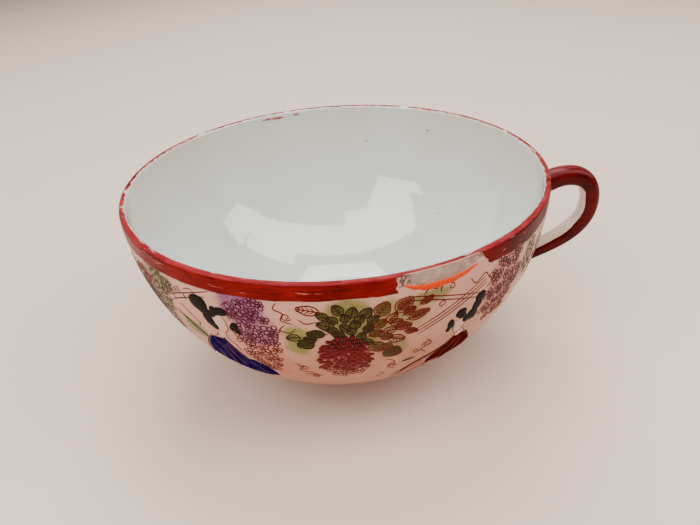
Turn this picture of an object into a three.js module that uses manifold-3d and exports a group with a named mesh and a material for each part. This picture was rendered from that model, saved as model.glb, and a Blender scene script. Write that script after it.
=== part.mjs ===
// A porcelain teacup: a round-bottomed bowl on a turned foot ring, with one small ear-shaped handle.
// An enamel band runs round the wall just under the lip, an enamel line runs along the lip's crest,
// and the outside of the handle is enamelled. Each handle root sits on a thin pad of slip.
//
// Millimetres, +Z up. The handle points along +X. Every piece is modelled with the cup's axis on Z
// and the foot's underside at zero, and the whole cup is moved once, at the end, so that the origin
// is at the middle of its box, on the surface it stands on.

import * as THREE from 'three';
import { mergeVertices } from 'three/addons/utils/BufferGeometryUtils.js';
import Module from 'manifold-3d';

const wasm = await Module();
wasm.setup();

// Driving dimensions: the bowl.
const BODY_RADIUS = 48.5; // the widest outside radius
const CUP_HEIGHT = 50; // from the foot's underside to the lip's crest
const WIDEST_DEPTH = 2; // from the crest down to the widest level
const LIP_THICKNESS = 1.4;
const WALL_THICKNESS = 1.8;
const THICKENING_DEPTH = 10; // over this depth the wall grows from the lip's thickness to its own
const BASE_THICKNESS = 2;

// Driving dimensions: the foot ring.
const FOOT_RADIUS = 19; // outside, where it meets the bowl
const FOOT_HEIGHT = 3.5;
const FOOT_THICKNESS = 3.2; // where it meets the bowl
const FOOT_TAPER = 0.5; // how far each side draws in towards the underside
const FOOT_CHAMFER = 0.4;
const SEAT_MARGIN = 0.3; // how far the bowl's flat underside reaches past the ring

// Driving dimensions: the handle's centre line, as a round arch and a long return to the wall.
const HANDLE_PROJECTION = 13.5; // from the widest part of the bowl to the outside of the loop
const HANDLE_WIDTH = 4.8;
const HANDLE_THICKNESS = 4.3; // at the upper root
const HANDLE_TAPER = 0.38; // how much thinner the lower root is, as a share
const UPPER_ROOT_DEPTH = 6.1; // below the crest, where the loop leaves the wall
const OUTERMOST_DEPTH = 10.7; // below the crest, where the loop reaches furthest out
const LOWER_ROOT_DEPTH = 27; // below the crest, where the loop comes back to the wall
const ARCH_RISE = 3.3; // how far the arch's handles stand above the upper root
const ARCH_LEAD = 5.2; // how far out the strap runs before it turns over
const RETURN_DROP = 8; // how far straight down the loop runs before it turns back
const RETURN_LEAD = 10; // how far out from the lower root the strap already points at the wall
const RETURN_RISE = 4.5; // and how far above the lower root it is there
const ROOT_FLARE = 0.22; // how much wider the strap is at its roots, as a share

// Driving dimensions: slip and enamel.
const SLIP_THICKNESS = 0.6;
const SLIP_SPREAD = 0.45; // how far the slip stands out round the strap
const ENAMEL_THICKNESS = 0.12;
const BAND_HEIGHT = 3.3; // down the wall from where the lip's rounding ends
const BREAK_ANGLE = -62.5; // degrees round from the handle to the middle of the gap in the band
const BREAK_SPAN = 21; // degrees
const LIP_LINE_START = 25; // degrees up the lip's rounding, from its outside
const LIP_LINE_END = 125;
const HANDLE_ENAMEL_WRAP = 128; // degrees each way round the strap, from the middle of its outside

// Clearances.
const SEAT_GAP = 0.05; // between pieces that sit on one another
const OVERRUN = 3; // how far a piece runs into the wall before it is trimmed to it

// How finely the round shapes are divided.
const ROUND_STEPS = 48;
const WALL_STEPS = 14;
const LIP_STEPS = 6;
const BAND_STEPS = 3;
const STRAP_STEPS = 30;
const STRAP_SIDES = 14;
const STRAP_SQUARENESS = 0.78; // 1 is an ellipse and less is squarer

// The wall's outer curve is a quarter of an ellipse that ends at the edge of the bowl's underside.
const LIP_RADIUS = LIP_THICKNESS / 2;
const SEAT_RADIUS = FOOT_RADIUS + SEAT_MARGIN;
const CURVE_CENTRE = CUP_HEIGHT - WIDEST_DEPTH;
const CURVE_DEPTH = (CURVE_CENTRE - FOOT_HEIGHT) / Math.sqrt(1 - (SEAT_RADIUS / BODY_RADIUS) ** 2);
const SEAT_ANGLE = Math.acos(SEAT_RADIUS / BODY_RADIUS);
const LIP_ANGLE = -Math.asin((WIDEST_DEPTH - LIP_RADIUS) / CURVE_DEPTH);
const FLOOR_HEIGHT = FOOT_HEIGHT + BASE_THICKNESS;

const radians = THREE.MathUtils.degToRad;
const lerp = THREE.MathUtils.lerp;

// Evenly spaced values from start to end, both included.
function spaced(start, end, steps) {
  return Array.from({ length: steps + 1 }, (_, index) => lerp(start, end, index / steps));
}

// A point of the wall's curve, moved out by an offset: the radius, and the height above the foot.
function wallPoint(angle, offset = 0) {
  const radius = (BODY_RADIUS + offset) * Math.cos(angle);
  return new THREE.Vector2(radius, CURVE_CENTRE - (CURVE_DEPTH + offset) * Math.sin(angle));
}

// The wall's angle at a depth below the crest.
function wallAngle(depth) {
  return Math.asin((depth - WIDEST_DEPTH) / CURVE_DEPTH);
}

// The wall's thickness at a point of its curve: thin at the lip, full thickness further down.
function wallThickness(angle) {
  const depth = CURVE_DEPTH * (Math.sin(angle) - Math.sin(LIP_ANGLE));
  return lerp(LIP_THICKNESS, WALL_THICKNESS, THREE.MathUtils.smoothstep(depth, 0, THICKENING_DEPTH));
}

// A point of the lip's rounding, from 0 degrees on its outside to 180 degrees on its inside.
function lipPoint(degrees, offset = 0) {
  const outside = wallPoint(LIP_ANGLE);
  const reach = LIP_RADIUS + offset;
  return new THREE.Vector2(
    outside.x - LIP_RADIUS + reach * Math.cos(radians(degrees)),
    outside.y + reach * Math.sin(radians(degrees)),
  );
}

// Keeps only the positions of a geometry, with shared corners merged and empty triangles dropped.
function solidGeometry(geometry) {
  geometry.deleteAttribute('normal');
  geometry.deleteAttribute('uv');
  const merged = mergeVertices(geometry, 1e-4);
  const corners = merged.index.array;
  const kept = [];
  for (let first = 0; first < corners.length; first += 3) {
    const [a, b, c] = corners.slice(first, first + 3);
    if (a !== b && b !== c && c !== a) {
      kept.push(a, b, c);
    }
  }
  merged.setIndex(kept);
  return merged;
}

// A round solid from an outline of (radius, height) points that runs anticlockwise.
function turned(outline) {
  const geometry = new THREE.LatheGeometry(outline, ROUND_STEPS);
  geometry.rotateX(Math.PI / 2);
  return solidGeometry(geometry);
}

// A round solid whose outline closes on itself, clear of the axis.
function turnedRing(outline) {
  return turned([...outline, outline[0]]);
}

// A solid through a row of closed outlines, each with the same number of points, closed at both ends.
// Seen along the row, each outline runs clockwise, and flatOutline is the first one laid flat.
function lofted(outlines, flatOutline) {
  const count = flatOutline.length;
  const corners = [];
  for (let step = 0; step + 1 < outlines.length; step += 1) {
    for (let index = 0; index < count; index += 1) {
      const here = step * count + index;
      const beside = step * count + ((index + 1) % count);
      corners.push(here, beside, beside + count, here, beside + count, here + count);
    }
  }
  const last = (outlines.length - 1) * count;
  for (const [a, b, c] of THREE.ShapeUtils.triangulateShape(flatOutline, [])) {
    corners.push(a, c, b, last + a, last + b, last + c);
  }
  const geometry = new THREE.BufferGeometry().setFromPoints(outlines.flat());
  geometry.setIndex(corners);
  return geometry;
}

// Geometry to a boolean solid, and back.
function toSolid(geometry) {
  const vertProperties = new Float32Array(geometry.attributes.position.array);
  return new wasm.Manifold(
    new wasm.Mesh({ numProp: 3, vertProperties, triVerts: new Uint32Array(geometry.index.array) }),
  );
}

function fromSolid(solid) {
  const mesh = solid.getMesh();
  const geometry = new THREE.BufferGeometry();
  geometry.setAttribute('position', new THREE.Float32BufferAttribute(mesh.vertProperties, 3));
  geometry.setIndex([...mesh.triVerts]);
  return geometry;
}

// The bowl without its hollow, moved out by an offset. What meets the wall is trimmed with it.
function bowlBlock(offset) {
  const top = CUP_HEIGHT + OVERRUN;
  const wall = spaced(SEAT_ANGLE, LIP_ANGLE, WALL_STEPS).map((angle) => wallPoint(angle, offset));
  const rim = new THREE.Vector2(wall.at(-1).x, top);
  return toSolid(turned([new THREE.Vector2(0, wall[0].y), ...wall, rim, new THREE.Vector2(0, top)]));
}

// The bowl: underside, outer wall, lip, inner wall and a flat floor.
function makeBowl() {
  const floorAngle = Math.asin((CURVE_CENTRE - FLOOR_HEIGHT) / (CURVE_DEPTH - WALL_THICKNESS));
  const outside = spaced(SEAT_ANGLE, LIP_ANGLE, WALL_STEPS).map((angle) => wallPoint(angle));
  const lip = spaced(0, 180, LIP_STEPS).slice(1).map((degrees) => lipPoint(degrees));
  const inside = spaced(LIP_ANGLE, floorAngle, WALL_STEPS).slice(1);
  return turned([
    new THREE.Vector2(0, FOOT_HEIGHT),
    ...outside,
    ...lip,
    ...inside.map((angle) => wallPoint(angle, -wallThickness(angle))),
    new THREE.Vector2(0, FLOOR_HEIGHT),
  ]);
}

// The foot ring, drawn in slightly towards its flat underside, with its two bottom edges chamfered.
function makeFootRing() {
  const top = FOOT_HEIGHT - SEAT_GAP;
  const outer = FOOT_RADIUS - FOOT_TAPER;
  const inner = FOOT_RADIUS - FOOT_THICKNESS + FOOT_TAPER;
  return turnedRing([
    new THREE.Vector2(inner + FOOT_CHAMFER, 0),
    new THREE.Vector2(outer - FOOT_CHAMFER, 0),
    new THREE.Vector2(outer, FOOT_CHAMFER),
    new THREE.Vector2(FOOT_RADIUS, top),
    new THREE.Vector2(FOOT_RADIUS - FOOT_THICKNESS, top),
    new THREE.Vector2(inner, FOOT_CHAMFER),
  ]);
}

// The enamel line on the lip's crest, a thin skin over part of the lip's rounding.
function makeLipLine() {
  const degrees = spaced(LIP_LINE_START, LIP_LINE_END, LIP_STEPS - 2);
  const outer = degrees.map((angle) => lipPoint(angle, SEAT_GAP + ENAMEL_THICKNESS));
  const inner = degrees.map((angle) => lipPoint(angle, SEAT_GAP));
  return turnedRing([...outer, ...inner.reverse()]);
}

// A point at any angle round the cup that lies on the flat between two corners of a round solid.
function onRound(radius, angle, height) {
  const step = (2 * Math.PI) / ROUND_STEPS;
  const fromMiddle = angle - (Math.floor(angle / step) + 0.5) * step;
  const reach = (radius * Math.cos(step / 2)) / Math.cos(fromMiddle);
  return new THREE.Vector3(reach * Math.cos(angle), reach * Math.sin(angle), height);
}

// The handle's centre line in the plane y = 0: out from the wall, over the arch, down and back.
function handlePath() {
  const upper = wallPoint(wallAngle(UPPER_ROOT_DEPTH));
  const lower = wallPoint(wallAngle(LOWER_ROOT_DEPTH));
  const reach = BODY_RADIUS + HANDLE_PROJECTION - HANDLE_THICKNESS / 2;
  const outermost = new THREE.Vector2(reach, CUP_HEIGHT - OUTERMOST_DEPTH);
  const rise = upper.y + ARCH_RISE;
  const spread = (points) => points.map(([x, height]) => new THREE.Vector3(x, 0, height));
  const arch = spread([
    [upper.x, upper.y],
    [upper.x + ARCH_LEAD, rise],
    [reach, rise],
    [reach, outermost.y],
  ]);
  const turnBack = spread([
    [reach, outermost.y],
    [reach, outermost.y - RETURN_DROP],
    [lower.x + RETURN_LEAD, lower.y + RETURN_RISE],
    [lower.x, lower.y],
  ]);
  const inward = arch[0].clone().sub(arch[1]).setLength(OVERRUN).add(arch[0]);
  const onward = turnBack[3].clone().sub(turnBack[2]).setLength(OVERRUN).add(turnBack[3]);
  const path = new THREE.CurvePath();
  path.add(new THREE.LineCurve3(inward, arch[0]));
  path.add(new THREE.CubicBezierCurve3(...arch));
  path.add(new THREE.CubicBezierCurve3(...turnBack));
  path.add(new THREE.LineCurve3(turnBack[3], onward));
  return path;
}

// Part of the strap's section, a rounded rectangle, as (outward, across) points. The angles are
// degrees from the middle of the strap's outer face, the offset moves the section out, and thin is
// the share of the full thickness that the strap has there.
function strapSection(degrees, offset, thin) {
  const squared = (value) => Math.sign(value) * Math.abs(value) ** STRAP_SQUARENESS;
  return degrees.map((angle) => new THREE.Vector2(
    ((HANDLE_THICKNESS * thin) / 2 + offset) * squared(Math.cos(radians(angle))),
    (HANDLE_WIDTH / 2 + offset) * squared(Math.sin(radians(angle))),
  ));
}

// Carries a section along a stretch of the handle's centre line, wider towards the two roots and
// thinner towards the lower one. sectionAt gives the section for a share of the full thickness.
function alongHandle(sectionAt, from, to, steps) {
  const path = handlePath();
  const outlines = spaced(from, to, steps).map((share) => {
    const middle = path.getPointAt(share);
    const along = path.getTangentAt(share);
    const outward = new THREE.Vector3(along.z * -1, 0, along.x);
    const flare = 1 + ROOT_FLARE * Math.abs(2 * share - 1) ** 6;
    return sectionAt(1 - HANDLE_TAPER * share ** 2).map((point) => middle.clone()
      .addScaledVector(outward, point.x * flare)
      .addScaledVector(new THREE.Vector3(0, -1, 0), point.y * flare));
  });
  return toSolid(lofted(outlines, sectionAt(1)));
}

const WHOLE_TURN = spaced(0, 360, STRAP_SIDES).slice(0, -1);
const ENAMEL_ARC = spaced(-HANDLE_ENAMEL_WRAP, HANDLE_ENAMEL_WRAP, STRAP_SIDES - 4);
const SLIP_REACH = SEAT_GAP + SLIP_THICKNESS;
const ROOT_SHARE = 0.25; // the part of the centre line, from either end, that holds a root

// The handle, trimmed to the slip on the wall.
function makeHandle() {
  const strap = alongHandle((thin) => strapSection(WHOLE_TURN, 0, thin), 0, 1, STRAP_STEPS);
  return fromSolid(strap.subtract(bowlBlock(SLIP_REACH + SEAT_GAP)));
}

// The enamel on the outside and the edges of the handle. Its inner face stays bare.
function makeHandleEnamel() {
  const sectionAt = (thin) => [
    ...strapSection(ENAMEL_ARC, SEAT_GAP + ENAMEL_THICKNESS, thin),
    ...strapSection(ENAMEL_ARC, SEAT_GAP, thin).reverse(),
  ];
  const skin = alongHandle(sectionAt, 0, 1, STRAP_STEPS);
  return fromSolid(skin.subtract(bowlBlock(SLIP_REACH + SEAT_GAP)));
}

// The strap near one root, moved out by an offset.
function rootBead(offset, from, to) {
  const steps = Math.round(STRAP_STEPS * ROOT_SHARE);
  return alongHandle((thin) => strapSection(WHOLE_TURN, offset, thin), from, to, steps);
}

// The slip under one root, a thin pad on the wall that stands out a little round the strap.
function makeSlip(from, to) {
  const bead = rootBead(SLIP_SPREAD, from, to);
  return fromSolid(bead.intersect(bowlBlock(SLIP_REACH)).subtract(bowlBlock(SEAT_GAP)));
}

// The enamel band under the lip, a thin skin on the wall that stops at each side of its gap. It is
// painted round the upper root, so the root's slip is cut out of it.
function makeRimBand() {
  const low = wallAngle(LIP_RADIUS + BAND_HEIGHT);
  const angles = spaced(low, LIP_ANGLE, BAND_STEPS);
  const outer = angles.map((angle) => wallPoint(angle, SEAT_GAP + ENAMEL_THICKNESS));
  const inner = angles.map((angle) => wallPoint(angle, SEAT_GAP));
  const section = [...outer, ...inner.reverse()];
  const start = radians(BREAK_ANGLE - BREAK_SPAN / 2);
  const end = radians(BREAK_ANGLE + BREAK_SPAN / 2 - 360);
  const step = (2 * Math.PI) / ROUND_STEPS;
  const around = [start];
  for (let index = Math.ceil(start / step) - 1; index * step > end; index -= 1) {
    around.push(index * step);
  }
  around.push(end);
  const outlines = around.map((angle) => section.map((point) => onRound(point.x, angle, point.y)));
  const root = rootBead(SLIP_SPREAD + SEAT_GAP, 0, ROOT_SHARE);
  return fromSolid(toSolid(lofted(outlines, section)).subtract(root));
}

// Materials.
const porcelain = { color: '#ece6dc', roughness: 0.16, metalness: 0 };
const bareClay = { color: '#e2dacb', roughness: 0.6, metalness: 0 };
const redEnamel = { color: '#b5261c', roughness: 0.28, metalness: 0 };
const lipEnamel = { color: '#c4463a', roughness: 0.3, metalness: 0 };
const maroonEnamel = { color: '#6d1620', roughness: 0.2, metalness: 0 };

const cup = new THREE.Group();

function addPart(name, geometry, finish) {
  const mesh = new THREE.Mesh(geometry, new THREE.MeshStandardMaterial(finish));
  mesh.name = name;
  cup.add(mesh);
}

addPart('bowl', makeBowl(), porcelain);
addPart('foot_ring', makeFootRing(), bareClay);
addPart('handle', makeHandle(), porcelain);
addPart('handle_upper_slip', makeSlip(0, ROOT_SHARE), porcelain);
addPart('handle_lower_slip', makeSlip(1 - ROOT_SHARE, 1), porcelain);
addPart('rim_band', makeRimBand(), redEnamel);
addPart('lip_line', makeLipLine(), lipEnamel);
addPart('handle_enamel', makeHandleEnamel(), maroonEnamel);

// The origin goes to the middle of the cup's box, at the level of the foot's underside.
const box = new THREE.Box3().setFromObject(cup);
const middle = box.getCenter(new THREE.Vector3());
cup.position.set(-middle.x, -middle.y, -box.min.z);

export default cup;
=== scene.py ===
# %% [markdown]
# # A hand-painted porcelain teacup
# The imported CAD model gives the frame: where the bowl, the foot, the handle and the enamel bands are, in
# metres, with +Z up and the handle on +X. Every piece below is a smooth, finished surface that stands in
# for one of those plain solids, or a thin layer of enamel that the solids are too plain to hold.

# %% Load the frame
import math
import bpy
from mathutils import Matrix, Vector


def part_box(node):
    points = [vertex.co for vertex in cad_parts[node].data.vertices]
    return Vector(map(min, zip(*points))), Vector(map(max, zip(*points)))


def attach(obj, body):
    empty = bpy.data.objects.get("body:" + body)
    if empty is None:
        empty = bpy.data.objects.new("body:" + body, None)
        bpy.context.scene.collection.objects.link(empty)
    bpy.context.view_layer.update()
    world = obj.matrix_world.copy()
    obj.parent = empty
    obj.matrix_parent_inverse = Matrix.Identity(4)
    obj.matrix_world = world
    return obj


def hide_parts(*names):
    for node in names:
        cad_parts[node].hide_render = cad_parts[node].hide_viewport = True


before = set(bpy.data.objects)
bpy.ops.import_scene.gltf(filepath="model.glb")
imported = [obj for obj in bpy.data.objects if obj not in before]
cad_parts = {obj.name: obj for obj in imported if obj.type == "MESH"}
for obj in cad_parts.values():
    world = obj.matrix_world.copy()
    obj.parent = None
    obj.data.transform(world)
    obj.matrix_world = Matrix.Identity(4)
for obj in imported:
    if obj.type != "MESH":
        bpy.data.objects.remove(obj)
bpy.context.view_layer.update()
import bpy
import numpy as np
from mathutils import Matrix, Vector

# %% [markdown]
# ## Sizes
# All work is done in millimetres and turned to metres when a mesh is made. The bowl's wall is a quarter
# of a circle turned about the cup's axis, so three numbers from the frame place everything that sits on
# it: the axis, the radius and the height of the widest level. The few sizes that the frame can't give,
# such as how far below the lip the wall is widest, are named here.

# %% Sizes from the frame
MM = 0.001
bowl_low, bowl_high = (np.array(corner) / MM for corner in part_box("bowl"))
foot_low, foot_high = (np.array(corner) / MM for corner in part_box("foot_ring"))
AXIS_X = (foot_low[0] + foot_high[0]) / 2
LIP_TOP = bowl_high[2]
BASE_LEVEL = bowl_low[2]
WIDEST_DEPTH = 2.0
LIP_RADIUS = 0.7
WALL = 1.8
BASE = 2.0
FACET_SAG = 0.017        # the flat facets of the CAD's bowl lie this far inside its true circle
RADIUS = (bowl_high[1] - bowl_low[1]) / 2 + FACET_SAG
CENTRE_Z = LIP_TOP - WIDEST_DEPTH
FOOT_RADIUS = (foot_high[1] - foot_low[1]) / 2
FOOT_THICKNESS = 3.2
TURNS = (0, 180)         # the painting's groups stand at the front, and again at the back
print(f"axis x {AXIS_X:.2f}, radius {RADIUS:.2f}, lip {LIP_TOP:.2f}, base {BASE_LEVEL:.2f} mm")

# %% [markdown]
# ## Two ways of saying where something is
# A painter works round the cup and down its wall. So a place on the wall is an angle and a distance: alpha
# is in degrees to the right of the middle of the front, and s is in millimetres down the wall from the
# lip. The handle stands at alpha = 84. Lift is the height above the glaze.

# %% Places on the wall
HANDLE_ALPHA = 84.0
DEGREE_MM = 0.85         # about how many mm of wall go to a degree of turn
BAND_DEGREE_MM = 0.846   # the same at the rim, where the brush streaks are laid out
rng = np.random.default_rng(7)


def wall_angle(s):
    """The angle below the widest level, as arc length over radius: (s - depth of widest level) / R."""
    return (np.asarray(s, float) - WIDEST_DEPTH) / RADIUS


def wall_normal(alpha, s):
    """Unit normal of the sphere-shaped wall: (cos a cos t, cos a sin t, -sin a), t the turn from +X."""
    turn = np.radians(np.asarray(alpha, float) - HANDLE_ALPHA)
    a = wall_angle(s)
    return np.stack(np.broadcast_arrays(np.cos(a) * np.cos(turn), np.cos(a) * np.sin(turn), -np.sin(a)), -1)


CENTRE = np.array([AXIS_X, 0, CENTRE_Z])


def wall_point(alpha, s, lift=0.0):
    """Centre of the wall's circle plus (R + lift) times the normal."""
    return CENTRE + (RADIUS + np.asarray(lift, float))[..., None] * wall_normal(alpha, s)


def round_axis(radius, height, turn):
    """Points at a radius and a height, turned about the cup's axis from +X: (r cos t, r sin t, z)."""
    radius, height, turn = np.broadcast_arrays(radius, height, turn)
    return np.stack([AXIS_X + radius * np.cos(turn), radius * np.sin(turn), height], -1)


def beside(alpha, s, x, y):
    """The place x mm to the right of (alpha, s) and y mm below it: the turn is x over the wall's radius
    at that height."""
    down = np.asarray(s + y, float)
    return alpha + np.degrees(np.asarray(x, float) / (RADIUS * np.cos(wall_angle(down)))), down


def smooth(value, low, high):
    """0 below low, 1 above high, and 3t^2 - 2t^3 between."""
    t = np.clip((np.asarray(value, float) - low) / (high - low), 0, 1)
    return t * t * (3 - 2 * t)


def bell(value, middle, width):
    """1 at the middle and less to both sides: e to the power -((value - middle) / width)^2."""
    return np.exp(-((value - middle) / width) ** 2)


def ripple(x, y, size, seed):
    """A soft random surface between about -1 and 1: a sum of seven sine waves in random directions, with
    wavelengths round the given size."""
    draw = np.random.default_rng(seed)
    total = 0
    for _ in range(7):
        heading = draw.uniform(0, 2 * math.pi)
        wave = 2 * math.pi / (size * draw.uniform(0.6, 1.7))
        total = total + np.sin(wave * (x * math.cos(heading) + y * math.sin(heading)) + draw.uniform(0, 6.3))
    return total / 4.0


print("front middle of the lip:", wall_point(0.0, 0.0).round(1))

# %% [markdown]
# ## Meshes from grids
# Every surface is a grid of points. A grid can be joined to itself along its rows, its columns or both,
# and an open end is closed by a strip of faces across its ring, or by one point at a pole. The signed
# volume of each closed grid says whether its faces point outwards, and a grid that is inside out is
# turned round before it goes into a mesh.

# %% Grid helpers


def grid_faces(rows, columns, wrap_rows=False, wrap_columns=True, start=0):
    """Corner numbers of the squares of a grid of rows x columns points."""
    row = np.arange(rows if wrap_rows else rows - 1)[:, None]
    column = np.arange(columns if wrap_columns else columns - 1)[None, :]
    below, beyond = (row + 1) % rows, (column + 1) % columns
    corners = [row * columns + column, row * columns + beyond,
               below * columns + beyond, below * columns + column]
    return start + np.stack(np.broadcast_arrays(*corners), -1).reshape(-1, 4)


def fan_faces(ring, pole):
    """Triangles, as squares with a doubled corner, from a ring of corners to one pole."""
    return np.stack([ring, np.roll(ring, -1), np.full(len(ring), pole), np.full(len(ring), pole)], -1)


def strip_faces(ring):
    """A strip of squares across a ring with an even count, pairing corner i with corner n - 1 - i."""
    half = len(ring) // 2
    i = np.arange(half - 1)
    return np.stack([ring[i], ring[i + 1], ring[len(ring) - 2 - i], ring[len(ring) - 1 - i]], -1)


def outward(points, faces):
    """The faces, reversed if their signed volume, the sum of a . (b x c) / 6, is negative."""
    corner = points[faces]
    first = np.einsum("ij,ij->i", corner[:, 0], np.cross(corner[:, 1], corner[:, 2]))
    second = np.einsum("ij,ij->i", corner[:, 0], np.cross(corner[:, 2], corner[:, 3]))
    return faces[:, ::-1] if (first + second).sum() < 0 else faces


def solid(points, faces):
    """A closed solid as (points, faces), with its faces outwards."""
    points = np.asarray(points, float).reshape(-1, 3)
    centred = points - points.mean(0)
    return points, outward(centred, faces)


def there_and_back(near, far=None):
    """Columns out along one grid and back along the other, or back along the same one."""
    return np.concatenate([near, (near if far is None else far)[:, ::-1]], 1)


def turned_solid(grid, low_pole, high_pole):
    """A grid of rings closed by a pole at each end."""
    rows, columns = grid.shape[:2]
    points = np.vstack([grid.reshape(-1, 3), [low_pole], [high_pole]])
    count = rows * columns
    caps = [fan_faces(np.arange(columns)[::-1], count), fan_faces(np.arange(count - columns, count), count + 1)]
    return solid(points, np.vstack([grid_faces(rows, columns), *caps]))


def swept_solid(grid):
    """A grid of rings along a path, closed by a strip of faces at each end."""
    rows, columns = grid.shape[:2]
    last = np.arange((rows - 1) * columns, rows * columns)
    caps = [strip_faces(np.arange(columns)[::-1]), strip_faces(last)]
    return solid(grid, np.vstack([grid_faces(rows, columns), *caps]))


def ring_solid(grid):
    """A grid of rings joined to itself both ways."""
    return solid(grid, grid_faces(*grid.shape[:2], wrap_rows=True))


def together(solids):
    """Several solids as one list of points and one list of faces."""
    starts = np.cumsum([0] + [len(points) for points, _ in solids[:-1]])
    points = np.vstack([points for points, _ in solids])
    return points, np.vstack([faces + start for (_, faces), start in zip(solids, starts)])


def make_piece(name, shape, material, slot, replaces=(), uv=None, second=None, **attributes):
    """Puts a closed shape, in mm, into a mesh in metres that rides on the cup. uv gives each point a flat
    place in mm, and attributes give each point a value or a colour. second is (material, points) for
    another material on the faces whose first corner is one of those points."""
    points, faces = shape
    doubled = faces[:, 2] == faces[:, 3]
    mesh = bpy.data.meshes.new(name)
    mesh.from_pydata((points * MM).tolist(), [], faces[~doubled].tolist() + faces[doubled, :3].tolist())
    mesh.polygons.foreach_set("use_smooth", np.ones(len(mesh.polygons), bool))
    if uv is not None:
        corner = np.zeros(len(mesh.loops), np.int32)
        mesh.loops.foreach_get("vertex_index", corner)
        mesh.uv_layers.new(name="flat_mm").data.foreach_set("uv", uv[corner].astype(np.float32).ravel())
    for key, values in attributes.items():
        kind, field = ("FLOAT_COLOR", "color") if values.ndim == 2 else ("FLOAT", "value")
        mesh.attributes.new(key, kind, "POINT").data.foreach_set(field, values.astype(np.float32).ravel())
    mesh.materials.append(material)
    if second is not None:
        mesh.materials.append(second[0])
        first_corner = np.concatenate([faces[~doubled, 0], faces[doubled, 0]])
        mesh.polygons.foreach_set("material_index", second[1][first_corner].astype(np.int32))
    mesh.update()
    piece = bpy.data.objects.new(name, mesh)
    bpy.context.scene.collection.objects.link(piece)
    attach(piece, "root")
    if replaces:
        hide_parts(*replaces)
    print(f"{name}: {2 * int((~doubled).sum()) + int(doubled.sum())} triangles")
    return piece


# %% [markdown]
# ## Materials
# Each material is a Principled shader with a few nodes in front of it. One helper adds a node, sets its
# properties and joins its sockets. Colours are written as screen hex values, and one function turns them
# into the linear values that the shader wants.

# %% Material helpers


def linear(hex_colour):
    """A hex screen colour as linear red, green, blue and 1: ((c + 0.055) / 1.055) ^ 2.4 above 0.04."""
    channels = [int(hex_colour[i:i + 2], 16) / 255 for i in (1, 3, 5)]
    return [c / 12.92 if c <= 0.04045 else ((c + 0.055) / 1.055) ** 2.4 for c in channels] + [1.0]


def add_node(tree, kind, sockets=None, **settings):
    """Adds a shader node. settings are its properties, and sockets gives each input, by name or number,
    a value or another node's output."""
    made = tree.nodes.new(kind)
    for key, value in settings.items():
        setattr(made, key, value)
    for key, value in (sockets or {}).items():
        if isinstance(value, bpy.types.NodeSocket):
            tree.links.new(value, made.inputs[key])
        else:
            made.inputs[key].default_value = value
    return made


def new_material(name, roughness, specular=0.5, coat=0.0):
    """A Principled material with glass's IOR: returns it, its node tree and its shader."""
    material = bpy.data.materials.new(name)
    material.use_nodes = True
    tree = material.node_tree
    surface = tree.nodes["Principled BSDF"]
    settings = {"Roughness": roughness, "IOR": 1.5, "Specular IOR Level": specular,
                "Coat Weight": coat, "Coat Roughness": 0.05, "Coat IOR": 1.5}
    for key, value in settings.items():
        surface.inputs[key].default_value = value
    return material, tree, surface


def blend_colours(tree, share, first, second):
    """The output of a colour mix: first where share is 0 and second where it is 1. Either can be a hex
    colour or another node's output."""
    first, second = (linear(side) if isinstance(side, str) else side for side in (first, second))
    return add_node(tree, "ShaderNodeMix", {0: share, 6: first, 7: second}, data_type="RGBA").outputs[2]


def combined(tree, operation, first, second):
    """Two values added or multiplied."""
    return add_node(tree, "ShaderNodeMath", {0: first, 1: second}, operation=operation).outputs[0]


def mesh_value(tree, name):
    """A value that the mesh keeps for each of its points."""
    return add_node(tree, "ShaderNodeAttribute", attribute_name=name).outputs["Fac"]


def rescaled(tree, value, low, high, to_low=0.0, to_high=1.0):
    """A value moved from one range to another and kept inside it."""
    sockets = {0: value, 1: low, 2: high, 3: to_low, 4: to_high}
    return add_node(tree, "ShaderNodeMapRange", sockets).outputs[0]


def noise(tree, where, size_mm, detail=2.0, metres=True):
    """A noise whose grains are size_mm across. where is in metres, or in mm when metres is False."""
    scale = 1 / (size_mm * (MM if metres else 1.0))
    sockets = {"Vector": where, "Scale": scale, "Detail": detail, "Roughness": 0.55}
    return add_node(tree, "ShaderNodeTexNoise", sockets).outputs["Fac"]


def object_place(tree):
    """The Object coordinates of the point that is shaded."""
    return add_node(tree, "ShaderNodeTexCoord").outputs["Object"]


def height_of(tree, where):
    """The z of a place."""
    return add_node(tree, "ShaderNodeSeparateXYZ", {0: where}).outputs[2]


def flat_place(tree):
    """The place in mm on the piece's own flat map."""
    return add_node(tree, "ShaderNodeUVMap", uv_map="flat_mm").outputs[0]


def stretched(tree, where, *scale, rotation=(0, 0, 0)):
    """A place scaled along each axis, so that a noise laid there is drawn out where the scale is small."""
    sockets = {"Vector": where, "Rotation": rotation, "Scale": scale}
    return add_node(tree, "ShaderNodeMapping", sockets).outputs[0]


def use_colour(tree, surface, colour):
    """Joins a colour to the shader."""
    tree.links.new(colour, surface.inputs["Base Color"])


def add_bump(tree, surface, height, depth_mm, strength=1.0):
    """Roughens a surface with a height between 0 and 1 that stands for depth_mm."""
    sockets = {"Height": height, "Distance": depth_mm * MM, "Strength": strength}
    tree.links.new(add_node(tree, "ShaderNodeBump", sockets).outputs[0], surface.inputs["Normal"])


# %% [markdown]
# ## The glaze
# Glazed porcelain is white clay under about a fifth of a millimetre of clear glass. It is very smooth, so
# it is given a low roughness and glass's IOR of 1.5, with the faint orange-peel waves, a few millimetres
# long, that a fired glaze keeps. The painted washes lie under the line work as broad soft colours, so they
# are stored on the bowl's own points as a colour and an amount, and the shader lays them over the ground.

# %% Glazed porcelain
# The outside's ground colours: cream glaze with a painted warm reflection laid in at the top, and a deeper
# painted reflection and painted shade low on the wall.
GROUND_TOP_WITH_PAINTED_REFLECTION = "#cb9884"
GROUND_LOW_PAINTED_REFLECTION_SHADE = "#ad5f3f"


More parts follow.
